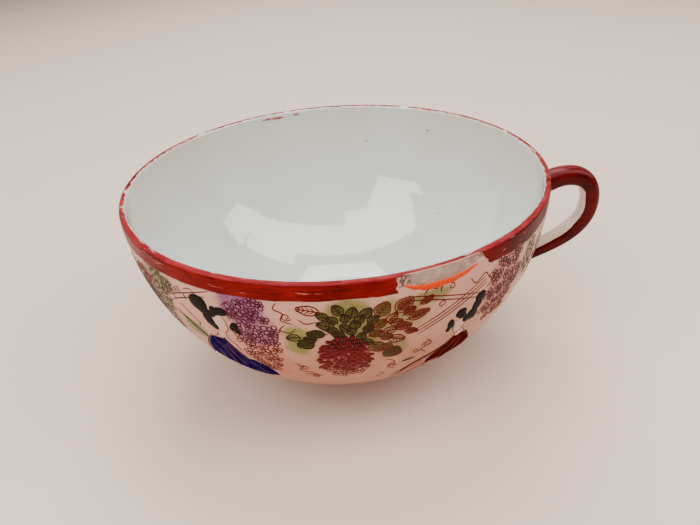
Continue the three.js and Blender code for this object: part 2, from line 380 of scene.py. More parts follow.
def glaze_inside():
    """White glaze, a little stained by tea towards the lip, with broad soft clouds."""
    material, tree, surface = new_material("porcelain_glazed_inside", 0.1, coat=1.0)
    where = object_place(tree)
    cloud = noise(tree, where, 16.0, 3.0)
    upward = rescaled(tree, height_of(tree, where), 22 * MM, 50 * MM)
    stain = combined(tree, "MULTIPLY", upward, cloud)
    colour = blend_colours(tree, rescaled(tree, cloud, 0.3, 0.75), "#cfd1ca", "#c6c9c4")
    colour = blend_colours(tree, rescaled(tree, stain, 0.1, 0.6), colour, "#d2c8b8")
    use_colour(tree, surface, colour)
    add_bump(tree, surface, noise(tree, where, 5.0, 1.0), 0.03, 0.5)
    return material


def glaze_outside():
    """A warm ground that deepens down the wall, the painted washes, and bare rough clay where the
    attribute 'bare' is 1. The ground is cream glaze with a painted reflection of warm orange light laid in,
    and its deepening down the wall is painted reflection and painted shade. Years of washing up have
    dulled it, so its shine is weaker than inside."""
    material, tree, surface = new_material("porcelain_glazed_outside", 0.3, specular=0.12)
    where = object_place(tree)
    # painted reflection and painted shade: the ground warms and darkens from 46 mm up down to 12 mm
    down = rescaled(tree, height_of(tree, where), 46 * MM, 12 * MM)
    ground = blend_colours(tree, down, GROUND_TOP_WITH_PAINTED_REFLECTION, GROUND_LOW_PAINTED_REFLECTION_SHADE)
    cloud = rescaled(tree, noise(tree, where, 11.0, 3.0), 0.35, 0.7, 0.0, 0.4)
    ground = blend_colours(tree, cloud, ground, "#d5a892")
    paint = add_node(tree, "ShaderNodeAttribute", attribute_name="wash")
    grain = rescaled(tree, noise(tree, where, 0.7, 4.0), 0.25, 0.75, 0.7, 1.0)
    amount = combined(tree, "MULTIPLY", paint.outputs["Alpha"], grain)
    colour = blend_colours(tree, amount, ground, paint.outputs["Color"])
    bare = mesh_value(tree, "bare")
    patches = rescaled(tree, noise(tree, where, 2.2, 4.0), 0.3, 0.7)
    clay = blend_colours(tree, patches, "#8d7163", "#bfa797")
    clay_share = combined(tree, "MULTIPLY", bare, rescaled(tree, amount, 0.15, 0.6, 1.0, 0.0))
    use_colour(tree, surface, blend_colours(tree, clay_share, colour, clay))
    tree.links.new(rescaled(tree, bare, 0.0, 1.0, 0.3, 0.6), surface.inputs["Roughness"])
    add_bump(tree, surface, noise(tree, where, 4.0, 1.0), 0.03, 0.5)
    return material


INSIDE, OUTSIDE = glaze_inside(), glaze_outside()

# %% [markdown]
# ## The bowl
# The bowl was shaped in a spinning mould, so it is a turned surface: one outline carried round the axis.
# The outline runs from the underside, up the outer wall, round the lip, down the inner wall and over the
# floor. A lathe or a Spin would give the same, but a grid of points can also be pushed in where the wall
# is chipped, and it can carry the painter's washes point by point. The grid's columns are close together
# only at the chip.

# %% The bowl's outline
SEAT_RADIUS = FOOT_RADIUS + 0.3
WASH_END = 46.0
UNDER_S, INSIDE_S = 99.0, -1.0      # stand-ins for s on the rows that aren't on the outer wall
FLOOR_BLEND = 1.5


def wall_thickness(s):
    """From the lip's thickness to the wall's over the first 10 mm, by the smooth step."""
    return 2 * LIP_RADIUS + (WALL - 2 * LIP_RADIUS) * smooth(s, 1, 11)


def bowl_outline():
    """Rows of (radius, height, s): underside, outer wall, lip as a half circle, inner wall. The inner
    wall's height is the smooth larger of a circle and the flat floor, (a + b + sqrt((a-b)^2 + k^2)) / 2."""
    seat = WIDEST_DEPTH + RADIUS * math.acos(SEAT_RADIUS / RADIUS)
    under_radius = np.linspace(1.5, SEAT_RADIUS - 0.8, 8)
    under = np.stack(np.broadcast_arrays(under_radius, BASE_LEVEL, UNDER_S), -1)
    s = np.concatenate([np.linspace(seat, WASH_END, 12, endpoint=False),
                        np.linspace(WASH_END, 6, 66, endpoint=False), np.linspace(6, LIP_RADIUS, 38)])
    angle = wall_angle(s)
    outer = np.stack([RADIUS * np.cos(angle), CENTRE_Z - RADIUS * np.sin(angle), s], -1)
    turn = np.linspace(0, math.pi, 13)[1:-1]
    lip = np.stack([outer[-1, 0] + LIP_RADIUS * (np.cos(turn) - 1), outer[-1, 1] + LIP_RADIUS * np.sin(turn),
                    np.maximum(LIP_RADIUS * (1 - turn), 0)], -1)
    s_in = np.concatenate([np.linspace(LIP_RADIUS, 12, 12, endpoint=False), np.linspace(12, 76, 44)])
    reach, angle = RADIUS - wall_thickness(s_in), wall_angle(s_in)
    circle, floor = CENTRE_Z - reach * np.sin(angle), BASE_LEVEL + BASE
    height = (circle + floor + np.sqrt((circle - floor) ** 2 + FLOOR_BLEND ** 2)) / 2
    inner = np.stack(np.broadcast_arrays(reach * np.cos(angle), height, INSIDE_S), -1)
    return under, outer, lip, inner


under, outer, lip, inner = bowl_outline()
print("outline rows:", len(under), len(outer), len(lip), len(inner))

# %% [markdown]
# The chip is a flake gone from under the lip, with the shape of a shallow scallop shell: a flat top along
# the lip and a bowed lower edge. Its depth follows from how far inside that edge a point is.

# %% The chip
CHIP_LEFT, CHIP_RIGHT = 10.8, 32.0
CHIP_DEPTH, CHIP_REACH = 0.34, 3.3


def chip_edge(alpha):
    """How far down the chip reaches at each angle: a bowed line with a ragged edge."""
    share = np.clip((alpha - CHIP_LEFT) / (CHIP_RIGHT - CHIP_LEFT), 0, 1)
    bow = CHIP_REACH * np.sin(math.pi * share ** 0.8) ** 0.45
    return bow + 0.16 * ripple(alpha, 0, 2.2, 3) * np.sin(math.pi * share)


def chip_amount(alpha, s):
    """1 inside the chip and 0 outside it, with a sharp step over a quarter of a millimetre."""
    inside = chip_edge(alpha) - s
    sides = 0.8 * np.minimum(alpha - CHIP_LEFT, CHIP_RIGHT - alpha)
    return smooth(np.minimum(inside, sides), 0.0, 0.25) * smooth(s, 0.1, 0.5)


print("chip reaches", chip_edge(np.array([12.0, 20.0, 28.0])).round(2), "mm down")

# %% Build the bowl


def paint_over(base, colour, amount):
    """Lays a colour over a wash: share = a + b - ab, and the colour is the mean weighted by the shares."""
    share = amount + base[..., 3] * (1 - amount)
    fresh = np.divide(amount, share, out=np.zeros_like(share), where=share > 1e-6)[..., None]
    mixed = base[..., :3] * (1 - fresh) + np.array(linear(colour))[:3] * fresh
    return np.concatenate([mixed, share[..., None]], -1)


def degrees_from(alpha, middle):
    """How far alpha is to the right of the middle, the short way round: from -180 to 180."""
    return (alpha - middle + 180) % 360 - 180


def wash_amount(alpha, s, middle, size, strength, seed):
    """An oval wash with an uneven, soft edge: strength * step(1.25 - distance, 0 to 0.5), with the distance
    in half sizes. middle is (alpha, s) and size is (half width in degrees, half height in mm)."""
    across = degrees_from(alpha, middle[0]) / size[0]
    down = (s - middle[1]) / size[1]
    uneven = 0.16 * ripple(alpha * DEGREE_MM, s, 3.5, seed)
    return strength * smooth(1.25 - np.hypot(across, down) + uneven, 0.0, 0.5)


# colour, strength, middle (alpha, s), half size (degrees, mm)
WASHES = [
    ("#5f4020", 0.9, (-48.5, 11), (4.8, 10)), ("#4c4418", 0.75, (-42.5, 5.6), (2.2, 1.8)),
    ("#5f6a24", 0.95, (-38.8, 16.4), (3.8, 2.6)), ("#5d4a22", 0.85, (-57, 14), (6, 8)),
    ("#6a6a26", 0.6, (-61, 32), (7, 5)), ("#7a4426", 0.7, (-53, 23), (8, 12)),
    ("#6e3268", 0.95, (-22.2, 6.0), (5.2, 4.2)), ("#7e3f70", 0.75, (-19.6, 11.0), (4.8, 5.4)),
    ("#b05038", 0.4, (-18.5, 22), (4.6, 7)),
    ("#727c2c", 0.95, (-10.8, 13.2), (3.0, 4.1)), ("#6c6e26", 0.95, (0.4, 7.4), (5.0, 4.4)),
    ("#70712b", 0.95, (3.0, 12.4), (4.6, 3.6)), ("#7f7c38", 0.75, (11, 8.6), (6, 4.0)),
    ("#6d6a2a", 0.7, (10.6, 17.4), (3.6, 3.6)), ("#68702a", 0.85, (18.4, 5.6), (4.0, 1.5)),
    ("#8e0c1c", 1.0, (-0.8, 18.6), (5.2, 6.2)), ("#93303e", 0.5, (39.5, 10.5), (6, 7.4)),
    ("#9c4a34", 0.25, (20, 23), (7, 5)), ("#a04a28", 0.7, (25, 31), (11, 6)),
    # On the next line, the brownish-orange wash at alpha 60 is a painted reflection of warm orange light from
    # below, not paint.
    ("#554018", 0.9, (49.5, 8.8), (3.2, 4.8)), ("#8b4028", 0.5, (60, 16), (7, 9)),
]
print(len(WASHES), "washes on the front")


def painted(alpha, s):
    """Every wash on the wall, and the same washes again at the back, half a turn on. On the chip a brown
    rim follows the lower edge, and a dark stain, a dusting of specks and a dark right end lie over it."""
    wash = np.zeros(alpha.shape + (4,))
    wash[..., :3] = linear(GROUND_TOP_WITH_PAINTED_REFLECTION)[:3]
    for turn in TURNS:
        for seed, (colour, strength, middle, size) in enumerate(WASHES):
            place = (middle[0] + turn, middle[1])
            wash = paint_over(wash, colour, wash_amount(alpha, s, place, size, strength, seed + turn))
    place = alpha * DEGREE_MM
    stain = smooth(ripple(place, s, 0.9, 31) + 0.5, 0.0, 0.6) * smooth(2.6 - s, 0, 0.8) * bell(alpha, 11.8, 2.3)
    dust = 0.9 * smooth(ripple(place, s, 0.6, 32), 0.45, 0.8) * bell(alpha, 15, 3.5) * bell(s, 1, 1)
    brown = 0.45 * bell(s, chip_edge(alpha) - 0.55, 0.7) * smooth(alpha, 11, 14) * smooth(30 - alpha, 0, 6)
    edge = 0.75 * bell(alpha, 29.2, 1.5) * bell(s, 0.55 + 0.16 * (alpha - 29.2), 0.35)
    dark = np.clip(1.1 * stain + dust + edge, 0, 0.95)
    return paint_over(paint_over(wash, "#6e4636", brown), "#2a1628", dark)


def build_bowl():
    """The outline carried round the axis, pushed inwards along the wall's normal by the depth of the chip.
    Rows as far as a third of the way round the lip take the outside's material."""
    alpha = np.concatenate([np.linspace(7, 36, 124, endpoint=False), np.linspace(36, 367, 356, endpoint=False)])
    rows = np.vstack([under, outer, lip, inner])
    radius, height, s = (rows[:, i:i + 1] for i in range(3))
    off_the_wall = 50.0
    deep, alpha = np.broadcast_arrays(np.where((s > 0) & (s < UNDER_S), s, off_the_wall), alpha[None, :])
    chipped = chip_amount(alpha, deep)
    dent = chipped * CHIP_DEPTH * (0.8 + 0.2 * ripple(alpha * DEGREE_MM, deep, 1.3, 5))
    radius = radius - dent * np.cos(wall_angle(deep))
    height = height + dent * np.sin(wall_angle(deep))
    grid = round_axis(radius, height, np.radians(alpha - HANDLE_ALPHA))
    wash = painted(alpha, deep)
    wash[..., 3] *= smooth(WASH_END - deep, 0, 3)
    outside = np.zeros(deep.shape)
    outside[:len(under) + len(outer) + 4] = 1
    poles = [[AXIS_X, 0, BASE_LEVEL], [AXIS_X, 0, inner[-1, 1]]]
    flat = lambda values, ends: np.concatenate([values.reshape((-1,) + values.shape[2:]), ends])
    make_piece("bowl_glazed", turned_solid(grid, *poles), INSIDE, "porcelain", ["bowl"],
               second=(OUTSIDE, flat(outside, [1, 0])), wash=flat(wash, np.zeros((2, 4))),
               bare=flat(chipped, [0, 0]))


build_bowl()

# %% [markdown]
# ## The foot ring
# The foot was turned in one with the bowl: a low ring with sides that draw in a little, a flat underside
# wiped free of glaze so that it didn't stick to the kiln shelf, and a soft hollow curve where it meets the
# bowl. It is the same kind of surface as the bowl, a closed outline carried round the axis. The wiped
# clay shows as a slightly rough, cream-coloured ring.

# %% Build the foot ring


def curve(start, pull, end, steps):
    """Points of a quadratic Bezier curve, (1-t)^2 a + 2 t (1-t) b + t^2 c, along the last axis but one."""
    t = np.linspace(0, 1, steps)[:, None]
    start, pull, end = (np.asarray(point, float)[..., None, :] for point in (start, pull, end))
    return (1 - t) ** 2 * start + 2 * t * (1 - t) * pull + t ** 2 * end


def glazed_foot():
    """The glaze of the bowl, with bare clay below 0.6 mm."""
    material, tree, surface = new_material("porcelain_bare_wiped", 0.4)
    where = object_place(tree)
    wander = rescaled(tree, noise(tree, where, 3.0), 0.3, 0.7, -0.15 * MM, 0.15 * MM)
    edge = combined(tree, "ADD", height_of(tree, where), wander)
    glazed = rescaled(tree, edge, 0.5 * MM, 0.7 * MM)
    clay = blend_colours(tree, noise(tree, where, 0.8, 4.0), "#d8cdb9", "#ebe3d4")
    use_colour(tree, surface, blend_colours(tree, glazed, clay, "#dcae95"))
    tree.links.new(rescaled(tree, glazed, 0.0, 1.0, 0.65, 0.12), surface.inputs["Roughness"])
    return material


def build_foot():
    """The ring's outline, from its inner edge over the rest to the outer side and up to the bowl, carried
    round the axis."""
    top, side = FOOT_RADIUS, FOOT_RADIUS - 0.5
    hollow, hollow_top = FOOT_RADIUS - FOOT_THICKNESS + 0.5, FOOT_RADIUS - FOOT_THICKNESS
    outline = np.vstack([
        curve([hollow, 0.7], [hollow, 0], [hollow + 0.6, 0], 6),
        curve([side - 0.6, 0], [side, 0], [side + 0.05, 0.7], 6),
        curve([side + 0.2, 1.7], [top + 0.1, 3.3], [top + 1.5, 4.0], 8),
        [[top, 4.5], [hollow_top, 4.5]],
        curve([hollow_top - 0.9, 3.55], [hollow_top + 0.1, 3.3], [hollow, 1.7], 8)])
    grid = round_axis(outline[:, 0], outline[:, 1], np.radians(np.arange(0, 360, 2.0))[:, None])
    make_piece("foot_ring_wiped", ring_solid(grid), glazed_foot(), "bare_porcelain", ["foot_ring"])


build_foot()

# %% [markdown]
# ## The handle
# The handle was pressed in a mould and stuck on with slip. It is a strap with rounded edges that follows
# two joined curves: an arch that leaves the wall just under the band, and a return that comes back to the
# wall halfway down. Carrying one section along that line gives the strap. Its end rings are held to a
# sphere just inside the wall's surface, so they can't come through to the inside.

# %% The strap's line and section
STRAP_THICK, STRAP_WIDE, STRAP_TAPER = 4.3, 4.8, 0.38
UPPER_Z, LOWER_Z, OUTERMOST_Z = LIP_TOP - 6.1, LIP_TOP - 27.0, LIP_TOP - 10.7
ARCH_RISE, RETURN_DROP, RETURN_RISE = 3.3, 8.0, 4.5
ROOT_LENGTH = 3.0        # how far the line goes on into the wall at each root
OUTERMOST_LOSS = 0.14    # what the taper and the facets take off the CAD's strap at its outermost place
STRAP_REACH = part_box("handle")[1][0] / MM - AXIS_X + OUTERMOST_LOSS - STRAP_THICK / 2
ENAMEL_WRAP = 128.0      # how far the enamel goes round the strap to each side, in degrees


def cubic(points, t):
    """Points of a cubic Bezier curve at the shares t."""
    p = np.asarray(points, float)[:, None, :]
    t = t[:, None]
    return (1 - t) ** 3 * p[0] + 3 * (1 - t) ** 2 * t * p[1] + 3 * (1 - t) * t ** 2 * p[2] + t ** 3 * p[3]


def strap_line(count):
    """Evenly spaced places along the strap's centre line, as (x, z), the unit direction there, and the
    share of the line's length that lies behind each."""
    upper, lower = ([math.sqrt(RADIUS ** 2 - (CENTRE_Z - z) ** 2), z] for z in (UPPER_Z, LOWER_Z))
    outermost = [STRAP_REACH, OUTERMOST_Z]
    arch = [upper, [upper[0] + 5.2, UPPER_Z + ARCH_RISE], [STRAP_REACH, UPPER_Z + ARCH_RISE], outermost]
    back = [outermost, [STRAP_REACH, OUTERMOST_Z - RETURN_DROP], [lower[0] + 10, LOWER_Z + RETURN_RISE], lower]
    t = np.linspace(0, 1, 300)
    path = np.vstack([cubic(arch, t), cubic(back, t)[1:]])
    beyond = [end + ROOT_LENGTH * (end - next_one) / np.linalg.norm(end - next_one)
              for end, next_one in ((path[0], path[1]), (path[-1], path[-2]))]
    path = np.vstack([beyond[:1], path, beyond[1:]])
    length = np.concatenate([[0], np.cumsum(np.linalg.norm(np.diff(path, axis=0), axis=1))])
    even = np.linspace(0, length[-1], count)
    line = np.stack([np.interp(even, length, path[:, i]) for i in (0, 1)], -1)
    along = np.gradient(line, axis=0)
    return line + [AXIS_X, 0], along / np.linalg.norm(along, axis=1)[:, None], even / length[-1]


def squared(value, power):
    """A sine or cosine to a power below 1, with its sign kept: it makes a round outline squarer."""
    return np.sign(value) * np.abs(value) ** power


def strap_surface(degrees, lift, count):
    """Rings round the strap at the given angles from the middle of its outer face. Each is a rounded
    rectangle, (thick |cos|^0.78, wide |sin|^0.78) with signs, wider towards both roots and thinner
    towards the lower one."""
    line, along, share = strap_line(count)
    flare = (1 + 0.22 * np.abs(2 * share - 1) ** 6)[:, None]
    angle = np.radians(degrees)[None, :]
    thick = STRAP_THICK * (1 - STRAP_TAPER * share ** 2)[:, None]
    out = (thick / 2 * flare + lift) * squared(np.cos(angle), 0.78)
    across = (STRAP_WIDE / 2 * flare + lift) * squared(np.sin(angle), 0.78)
    return np.stack([line[:, :1] - along[:, 1:] * out, across, line[:, 1:] + along[:, :1] * out], -1)


def held_outside(points, depth):
    """Points deeper in the wall than a depth are moved out along the radius to that depth."""
    away = points - CENTRE
    reach = np.linalg.norm(away, axis=-1, keepdims=True)
    return CENTRE + away * np.maximum(reach, RADIUS - depth) / reach


STRAP_RINGS = 150
round_strap = np.linspace(0, 360, 48, endpoint=False) + 3.75
strap = held_outside(strap_surface(round_strap, 0.0, STRAP_RINGS), 0.9)
print("strap from", strap.reshape(-1, 3).min(0).round(1), "to", strap.reshape(-1, 3).max(0).round(1))

# %% Build the strap and the slip round its roots


def plain_glaze():
    """White glaze with no paint, for the handle's bare inner face."""
    material, tree, surface = new_material("porcelain_glazed_plain", 0.12)
    cloud = rescaled(tree, noise(tree, object_place(tree), 6.0), 0.3, 0.7)
    use_colour(tree, surface, blend_colours(tree, cloud, "#cfc0b0", "#dccfc0"))
    return material


def maroon_glaze(name, by_attribute=False):
    """Maroon enamel laid on with a brush: dark where it lies thick, and pinker over the crown, a painted
    highlight. With by_attribute the enamel shows only where the attribute 'enamel' is 1."""
    material, tree, surface = new_material(name, 0.22, specular=0.1)
    streaks = noise(tree, stretched(tree, object_place(tree), 0.35, 1.6, 0.35), 1.6, 4.0)
    # painted highlight: a pinker colour over the crown of the arch, broken up by the brush streaks
    crown = combined(tree, "MULTIPLY", mesh_value(tree, "thin"), rescaled(tree, streaks, 0.3, 0.7))
    colour = blend_colours(tree, rescaled(tree, streaks, 0.3, 0.75), "#360203", "#600808")
    colour = blend_colours(tree, crown, colour, "#93353a")
    if by_attribute:
        colour = blend_colours(tree, mesh_value(tree, "enamel"), "#e2dbcf", colour)
    use_colour(tree, surface, colour)
    add_bump(tree, surface, streaks, 0.05, 0.4)
    return material


MAROON = maroon_glaze("enamel_maroon_brushed")
SLIP = maroon_glaze("porcelain_slip_enamelled", by_attribute=True)
make_piece("handle_strap", swept_solid(strap), plain_glaze(), "porcelain", ["handle"])


def slip_collar(from_end, out_strap, out_wall):
    """The slip squeezed out round a root, as a closed ring with a hollow curve between strap and wall. For
    each line along the strap, the curve starts where it is out_strap above the wall, is pulled to where it
    meets the wall, and ends out_wall away on the wall."""
    unit = lambda vectors: vectors / np.linalg.norm(vectors, axis=1)[:, None]
    angle = np.linspace(0, 360, 72, endpoint=False)
    lines = strap_surface(angle, 0.0, 1200)[::-1 if from_end else 1][:520]
    height = np.linalg.norm(lines - CENTRE, axis=-1) - RADIUS
    pick = lambda level: np.stack([lines[np.argmax(height[:, i] > level), i] for i in range(len(angle))])
    root, above = pick(0.0), pick(out_strap)
    normal = unit(root - CENTRE)
    away = root - root.mean(0)
    away = unit(away - (away * normal).sum(1)[:, None] * normal)
    foot = CENTRE + RADIUS * unit(root + out_wall * away - CENTRE)
    inward = 0.12 * (root.mean(0) - root)
    start = above + inward
    bowed = curve(start, root + 0.1 * normal, foot - 0.04 * normal, 9)
    inner_line = curve(foot - 0.3 * normal, root + 3 * inward - 0.3 * normal, start + inward, 5)
    grid = np.concatenate([bowed, inner_line], 1)
    coated = smooth(ENAMEL_WRAP - np.abs(degrees_from(angle, 0)), -4, 4)
    return ring_solid(grid), np.repeat(coated, grid.shape[1])


for name, from_end, out_strap, out_wall in (("upper", False, 0.7, 0.6), ("lower", True, 0.9, 0.8)):
    shape, coated = slip_collar(from_end, out_strap, out_wall)
    make_piece(f"slip_{name}_fillet", shape, SLIP, "porcelain", [f"handle_{name}_slip"],
               enamel=coated, thin=np.zeros(len(coated)))

# %% [markdown]
# ## The enamel on the handle
# The painter ran a loaded brush round the outside of the handle and left the inner face white. The enamel
# is a thin skin with an uneven edge: rings of two arcs, one just above the strap and one just inside it,
# and the arc's two ends wander a few degrees along the strap.

# %% Build the handle's enamel


def build_handle_enamel():
    """Rings at every degree are read at the angles between the two wandering edges, by the mean of the
    two nearest, and a painted highlight lies in patches over the crown of the arch."""
    share = strap_line(STRAP_RINGS)[2]
    place = 0.35 * np.arange(STRAP_RINGS)
    edge = lambda seed: ENAMEL_WRAP + 5 * ripple(place, 0, 9, seed) + 2 * ripple(place, 0, 2, seed + 1)
    sides = np.linspace(-1, 1, 30)[None, :]
    angle = sides * np.where(sides < 0, edge(13)[:, None], edge(11)[:, None])
    column = np.clip(angle + 180, 0, 359.999)
    low, row = column.astype(int), np.arange(STRAP_RINGS)[:, None]
    part = (column - low)[..., None]
    arcs = []
    for lift in (0.09, -0.12):
        rings = strap_surface(np.linspace(-180, 180, 361), lift, STRAP_RINGS)
        arcs.append(rings[row, low] * (1 - part) + rings[row, low + 1] * part)
    grid = held_outside(there_and_back(*arcs), 0.5)
    # painted highlight: patches along the upper half of the arch, in the middle of its outer face
    patches = 0.35 + 0.65 * smooth(ripple(place, 0, 7, 15), -0.6, 0.6)
    thin = bell(angle, 0, 34) * (patches * smooth(1 - share, 0.3, 0.8))[:, None]
    make_piece("handle_enamel_brushed", swept_solid(grid), MAROON, "maroon_enamel", ["handle_enamel"],
               thin=there_and_back(thin).ravel())


build_handle_enamel()

# %% [markdown]
# ## The band under the lip
# A red band was painted round the outside of the rim while the cup turned on a wheel. It is missing where
# the flake has gone. The enamel is a skin a few hundredths of a millimetre thick: its section follows the
# wall's outline from the band's lower edge up to the lip's rounding and back just under the surface, and
# it is carried round from one side of the break to the other. The flat places in mm give the shader a
# direction to streak the colour in, since a brush leaves its marks along its stroke.

# %% Rim outline and red enamel
BREAK_LEFT, BREAK_RIGHT = 10.5, 31.0
BAND_DROP = 3.35         # how far below the lip the band's lower edge runs
SUNK = 0.05              # how far the lower edges of every mark go under the glaze


def rim_profile(s):
    """(radius, height) and the unit normal's (radial, upward) parts of the rim. Below 0.7 mm s goes round
    the lip's half circle, an arc of its radius, with the crest at s = -0.4."""
    s = np.asarray(s, float)
    a = wall_angle(np.maximum(s, LIP_RADIUS))
    start = wall_angle(LIP_RADIUS)
    turn = np.clip((LIP_RADIUS - s) / LIP_RADIUS, 0, math.pi) - start * (s < LIP_RADIUS)
    on_lip = s < LIP_RADIUS
    out = np.where(on_lip, np.cos(turn), np.cos(a))
    rise = np.where(on_lip, np.sin(turn), -np.sin(a))
    base_r = RADIUS * np.cos(start) - LIP_RADIUS
    base_z = CENTRE_Z - RADIUS * np.sin(start)
    radius = np.where(on_lip, base_r + LIP_RADIUS * out, RADIUS * np.cos(a))
    height = np.where(on_lip, base_z + LIP_RADIUS * rise, CENTRE_Z - RADIUS * np.sin(a))
    return radius, height, out, rise


def rim_point(alpha, s, lift):
    """A point of the rim at a lift above the glaze."""
    radius, height, out, rise = rim_profile(s)
    turn = np.radians(np.asarray(alpha, float) - HANDLE_ALPHA)
    return round_axis(radius + lift * out, height + lift * rise, turn)


def rim_skin(alpha, s, lift):
    """The rim's points out at a lift and back just under the surface."""
    return there_and_back(rim_point(alpha, s, lift), rim_point(alpha, s, -SUNK))


def red_enamel(name, deep, light, worn):
    """Iron-red overglaze: streaky along the brush, darker where the attribute 'shade' is high, and rubbed
    to flecks where the attribute 'wear' is high."""
    material, tree, surface = new_material(name, 0.28, specular=0.03)
    place = flat_place(tree)
    long = stretched(tree, place, 0.12, 1.0, 1.0)
    streaks = noise(tree, long, 0.55, 3.0, metres=False)
    mixed = combined(tree, "ADD", streaks, noise(tree, place, 9.0, 2.0, metres=False))
    colour = blend_colours(tree, rescaled(tree, mixed, 0.75, 1.25), deep, light)
    colour = blend_colours(tree, mesh_value(tree, "shade"), colour, "#3c0806")
    wear = rescaled(tree, mesh_value(tree, "wear"), 0.0, 1.0, -0.3, 0.06)
    rubbed = combined(tree, "ADD", noise(tree, long, 0.32, 5.0, metres=False), wear)
    use_colour(tree, surface, blend_colours(tree, rescaled(tree, rubbed, 0.5, 0.58), colour, worn))
    add_bump(tree, surface, streaks, 0.03, 0.35)
    return material


def make_rim_piece(name, solid_kind, grid, material, slot, node, flat, wear, shade):
    """A skin on the rim with its flat places, its wear and its shade, each given for the outer side."""
    make_piece(name, solid_kind(grid), material, slot, [node], uv=there_and_back(flat).reshape(-1, 2),
               wear=there_and_back(np.clip(wear, 0, 1)).ravel(), shade=there_and_back(shade).ravel())


RED = red_enamel("enamel_iron_red_brushed", "#500809", "#8a1614", "#b86e62")
LIP_RED = red_enamel("enamel_iron_red_rubbed", "#74181c", "#9a3034", "#d0a29a")

# %% Build the band and the lip's line


def build_band():
    """Columns go up from a wandering lower edge to the lip's rounding, and rows go from the ragged right
    side of the break all the way round to its left side. The band reaches lower beside the handle."""
    share = np.linspace(0, 1, 620)[:, None]
    along = share * 290
    middle = BREAK_RIGHT + share * (360 + BREAK_LEFT - BREAK_RIGHT)
    low = BAND_DROP + 0.13 * ripple(along, 0, 11, 21) + 0.06 * ripple(along, 0, 1.6, 22)
    low = low + 0.75 * bell(middle, 46, 9)
    s = low + (0.25 - low) * np.linspace(0, 1, 15)[None, :]
    left = BREAK_LEFT + 360 + 0.4 * ripple(s, 0, 1.4, 23)
    right = BREAK_RIGHT - 1.1 + 0.9 * s + 0.22 * ripple(s, 0, 1.4, 24)
    alpha = right + share * (left - right)
    place = alpha * BAND_DEGREE_MM
    wear = 0.28 + 0.3 * smooth(ripple(place, s, 18, 25), 0.3, 1.2)
    rubbed = ((0.5, 313, 10, 1.3, 1.0), (0.45, 353, 7, 1.5, 0.5), (0.3, 335, 10, 2.2, 0.6))
    for amount, at, wide, down, tall in rubbed:
        wear = wear + amount * bell(alpha, at, wide) * bell(s, down, tall)
    shade = 0.8 * smooth(alpha, 30, 41) * smooth(92 - alpha, 0, 6)
    make_rim_piece("rim_band_brushed", swept_solid, rim_skin(alpha, s, 0.05), RED, "red_enamel", "rim_band",
                   np.stack([place, s], -1), wear, shade)


def build_lip_line():
    """A line over the crest of the lip, with a rubbed inner edge, bare nicks, and a few burnt dark ones.
    Over the chip its outer edge draws back."""
    alpha = np.linspace(0, 360, 900, endpoint=False)[:, None]
    spots = lambda rows: sum(bell(degrees_from(alpha, at), 0, wide) for at, wide in rows)
    nick = spots(((-84, 1.2), (-74, 0.7), (109, 1.0), (152, 1.4), (-130, 1.6), (196, 0.8)))
    burnt = spots(((-93.6, 0.9), (71, 0.8), (-88.5, 0.5)))
    place = alpha * BAND_DEGREE_MM
    outer_edge = 0.35 - 0.38 * smooth(alpha, 10.5, 12.5) * smooth(31 - alpha, 0, 2)
    rub = np.clip(0.14 * ripple(place, 0, 2.4, 26) + 0.07 * ripple(place, 0, 0.9, 27), -0.3, 0.3)
    inner_edge = -0.78 + rub + 0.5 * nick
    s = outer_edge + (inner_edge - outer_edge) * np.linspace(0, 1, 8)[None, :]
    alpha, place = np.broadcast_arrays(alpha, place, s)[:2]
    wear = 0.35 + 0.4 * smooth(-s, 0.1, 0.9) + 0.35 * smooth(ripple(place, s, 13, 28), 0.2, 1.2)
    wear = wear + 0.5 * nick - 0.6 * burnt
    shade = np.clip(0.25 * smooth(ripple(place, 0, 21, 29), 0.0, 1.5) + 0.9 * burnt, 0, 1)
    make_rim_piece("lip_line_rubbed", ring_solid, rim_skin(alpha, s, 0.07), LIP_RED, "lip_enamel", "lip_line",
                   np.stack([place, s], -1), wear, shade)


build_band()
build_lip_line()

# %% [markdown]
# ## The painting
# The outlines were printed from an engraved sheet and then filled in by hand with enamels. Both stand a
# few hundredths of a millimetre above the glaze, so they are made as thin raised pieces. There are three
# kinds of mark. A line is a ribbon with a four-cornered section, carried along a curve on the wall. A
# dab is a low dome inside a closed outline. A field is a sheet stretched between two curves, for the
# robes. Marks of one colour are gathered into one piece, and marks of one kind are made together, as
# arrays with one row for each mark.

# %% Lines, dabs and fields


def repeat_faces(faces, count, size):
    """The same faces for a number of equal blocks of points."""
    return (faces[None] + size * np.arange(count)[:, None, None]).reshape(-1, 4)


def ribbons(alpha, s, width, closed=False, lift=0.05):
    """Lines along rows of places: the section's corners are the middle plus or minus half a width times
    the side direction, along x normal, with the two upper corners drawn in and lifted."""
    normal, middle = wall_normal(alpha, s), wall_point(alpha, s)
    count, steps = middle.shape[:2]
    if closed:
        along = np.roll(middle, -1, 1) - np.roll(middle, 1, 1)
    else:
        along = np.gradient(middle, axis=1)
    side = np.cross(along, normal)
    side /= np.linalg.norm(side, axis=-1, keepdims=True) + 1e-9
    half = np.broadcast_to(width, alpha.shape)[..., None] / 2 * side
    grid = np.stack([middle + half - SUNK * normal, middle + 0.7 * half + lift * normal,
                     middle - 0.7 * half + lift * normal, middle - half - SUNK * normal], 2)
    if closed:
        faces = grid_faces(steps, 4, wrap_rows=True)
    else:
        ends = [strip_faces(np.arange(4)[::-1]), strip_faces(np.arange(4 * steps - 4, 4 * steps))]
        faces = np.vstack([grid_faces(steps, 4), *ends])
    faces = outward(grid[0].reshape(-1, 3) - middle[0].mean(0), faces)
    return grid.reshape(-1, 3), repeat_faces(faces, count, 4 * steps)


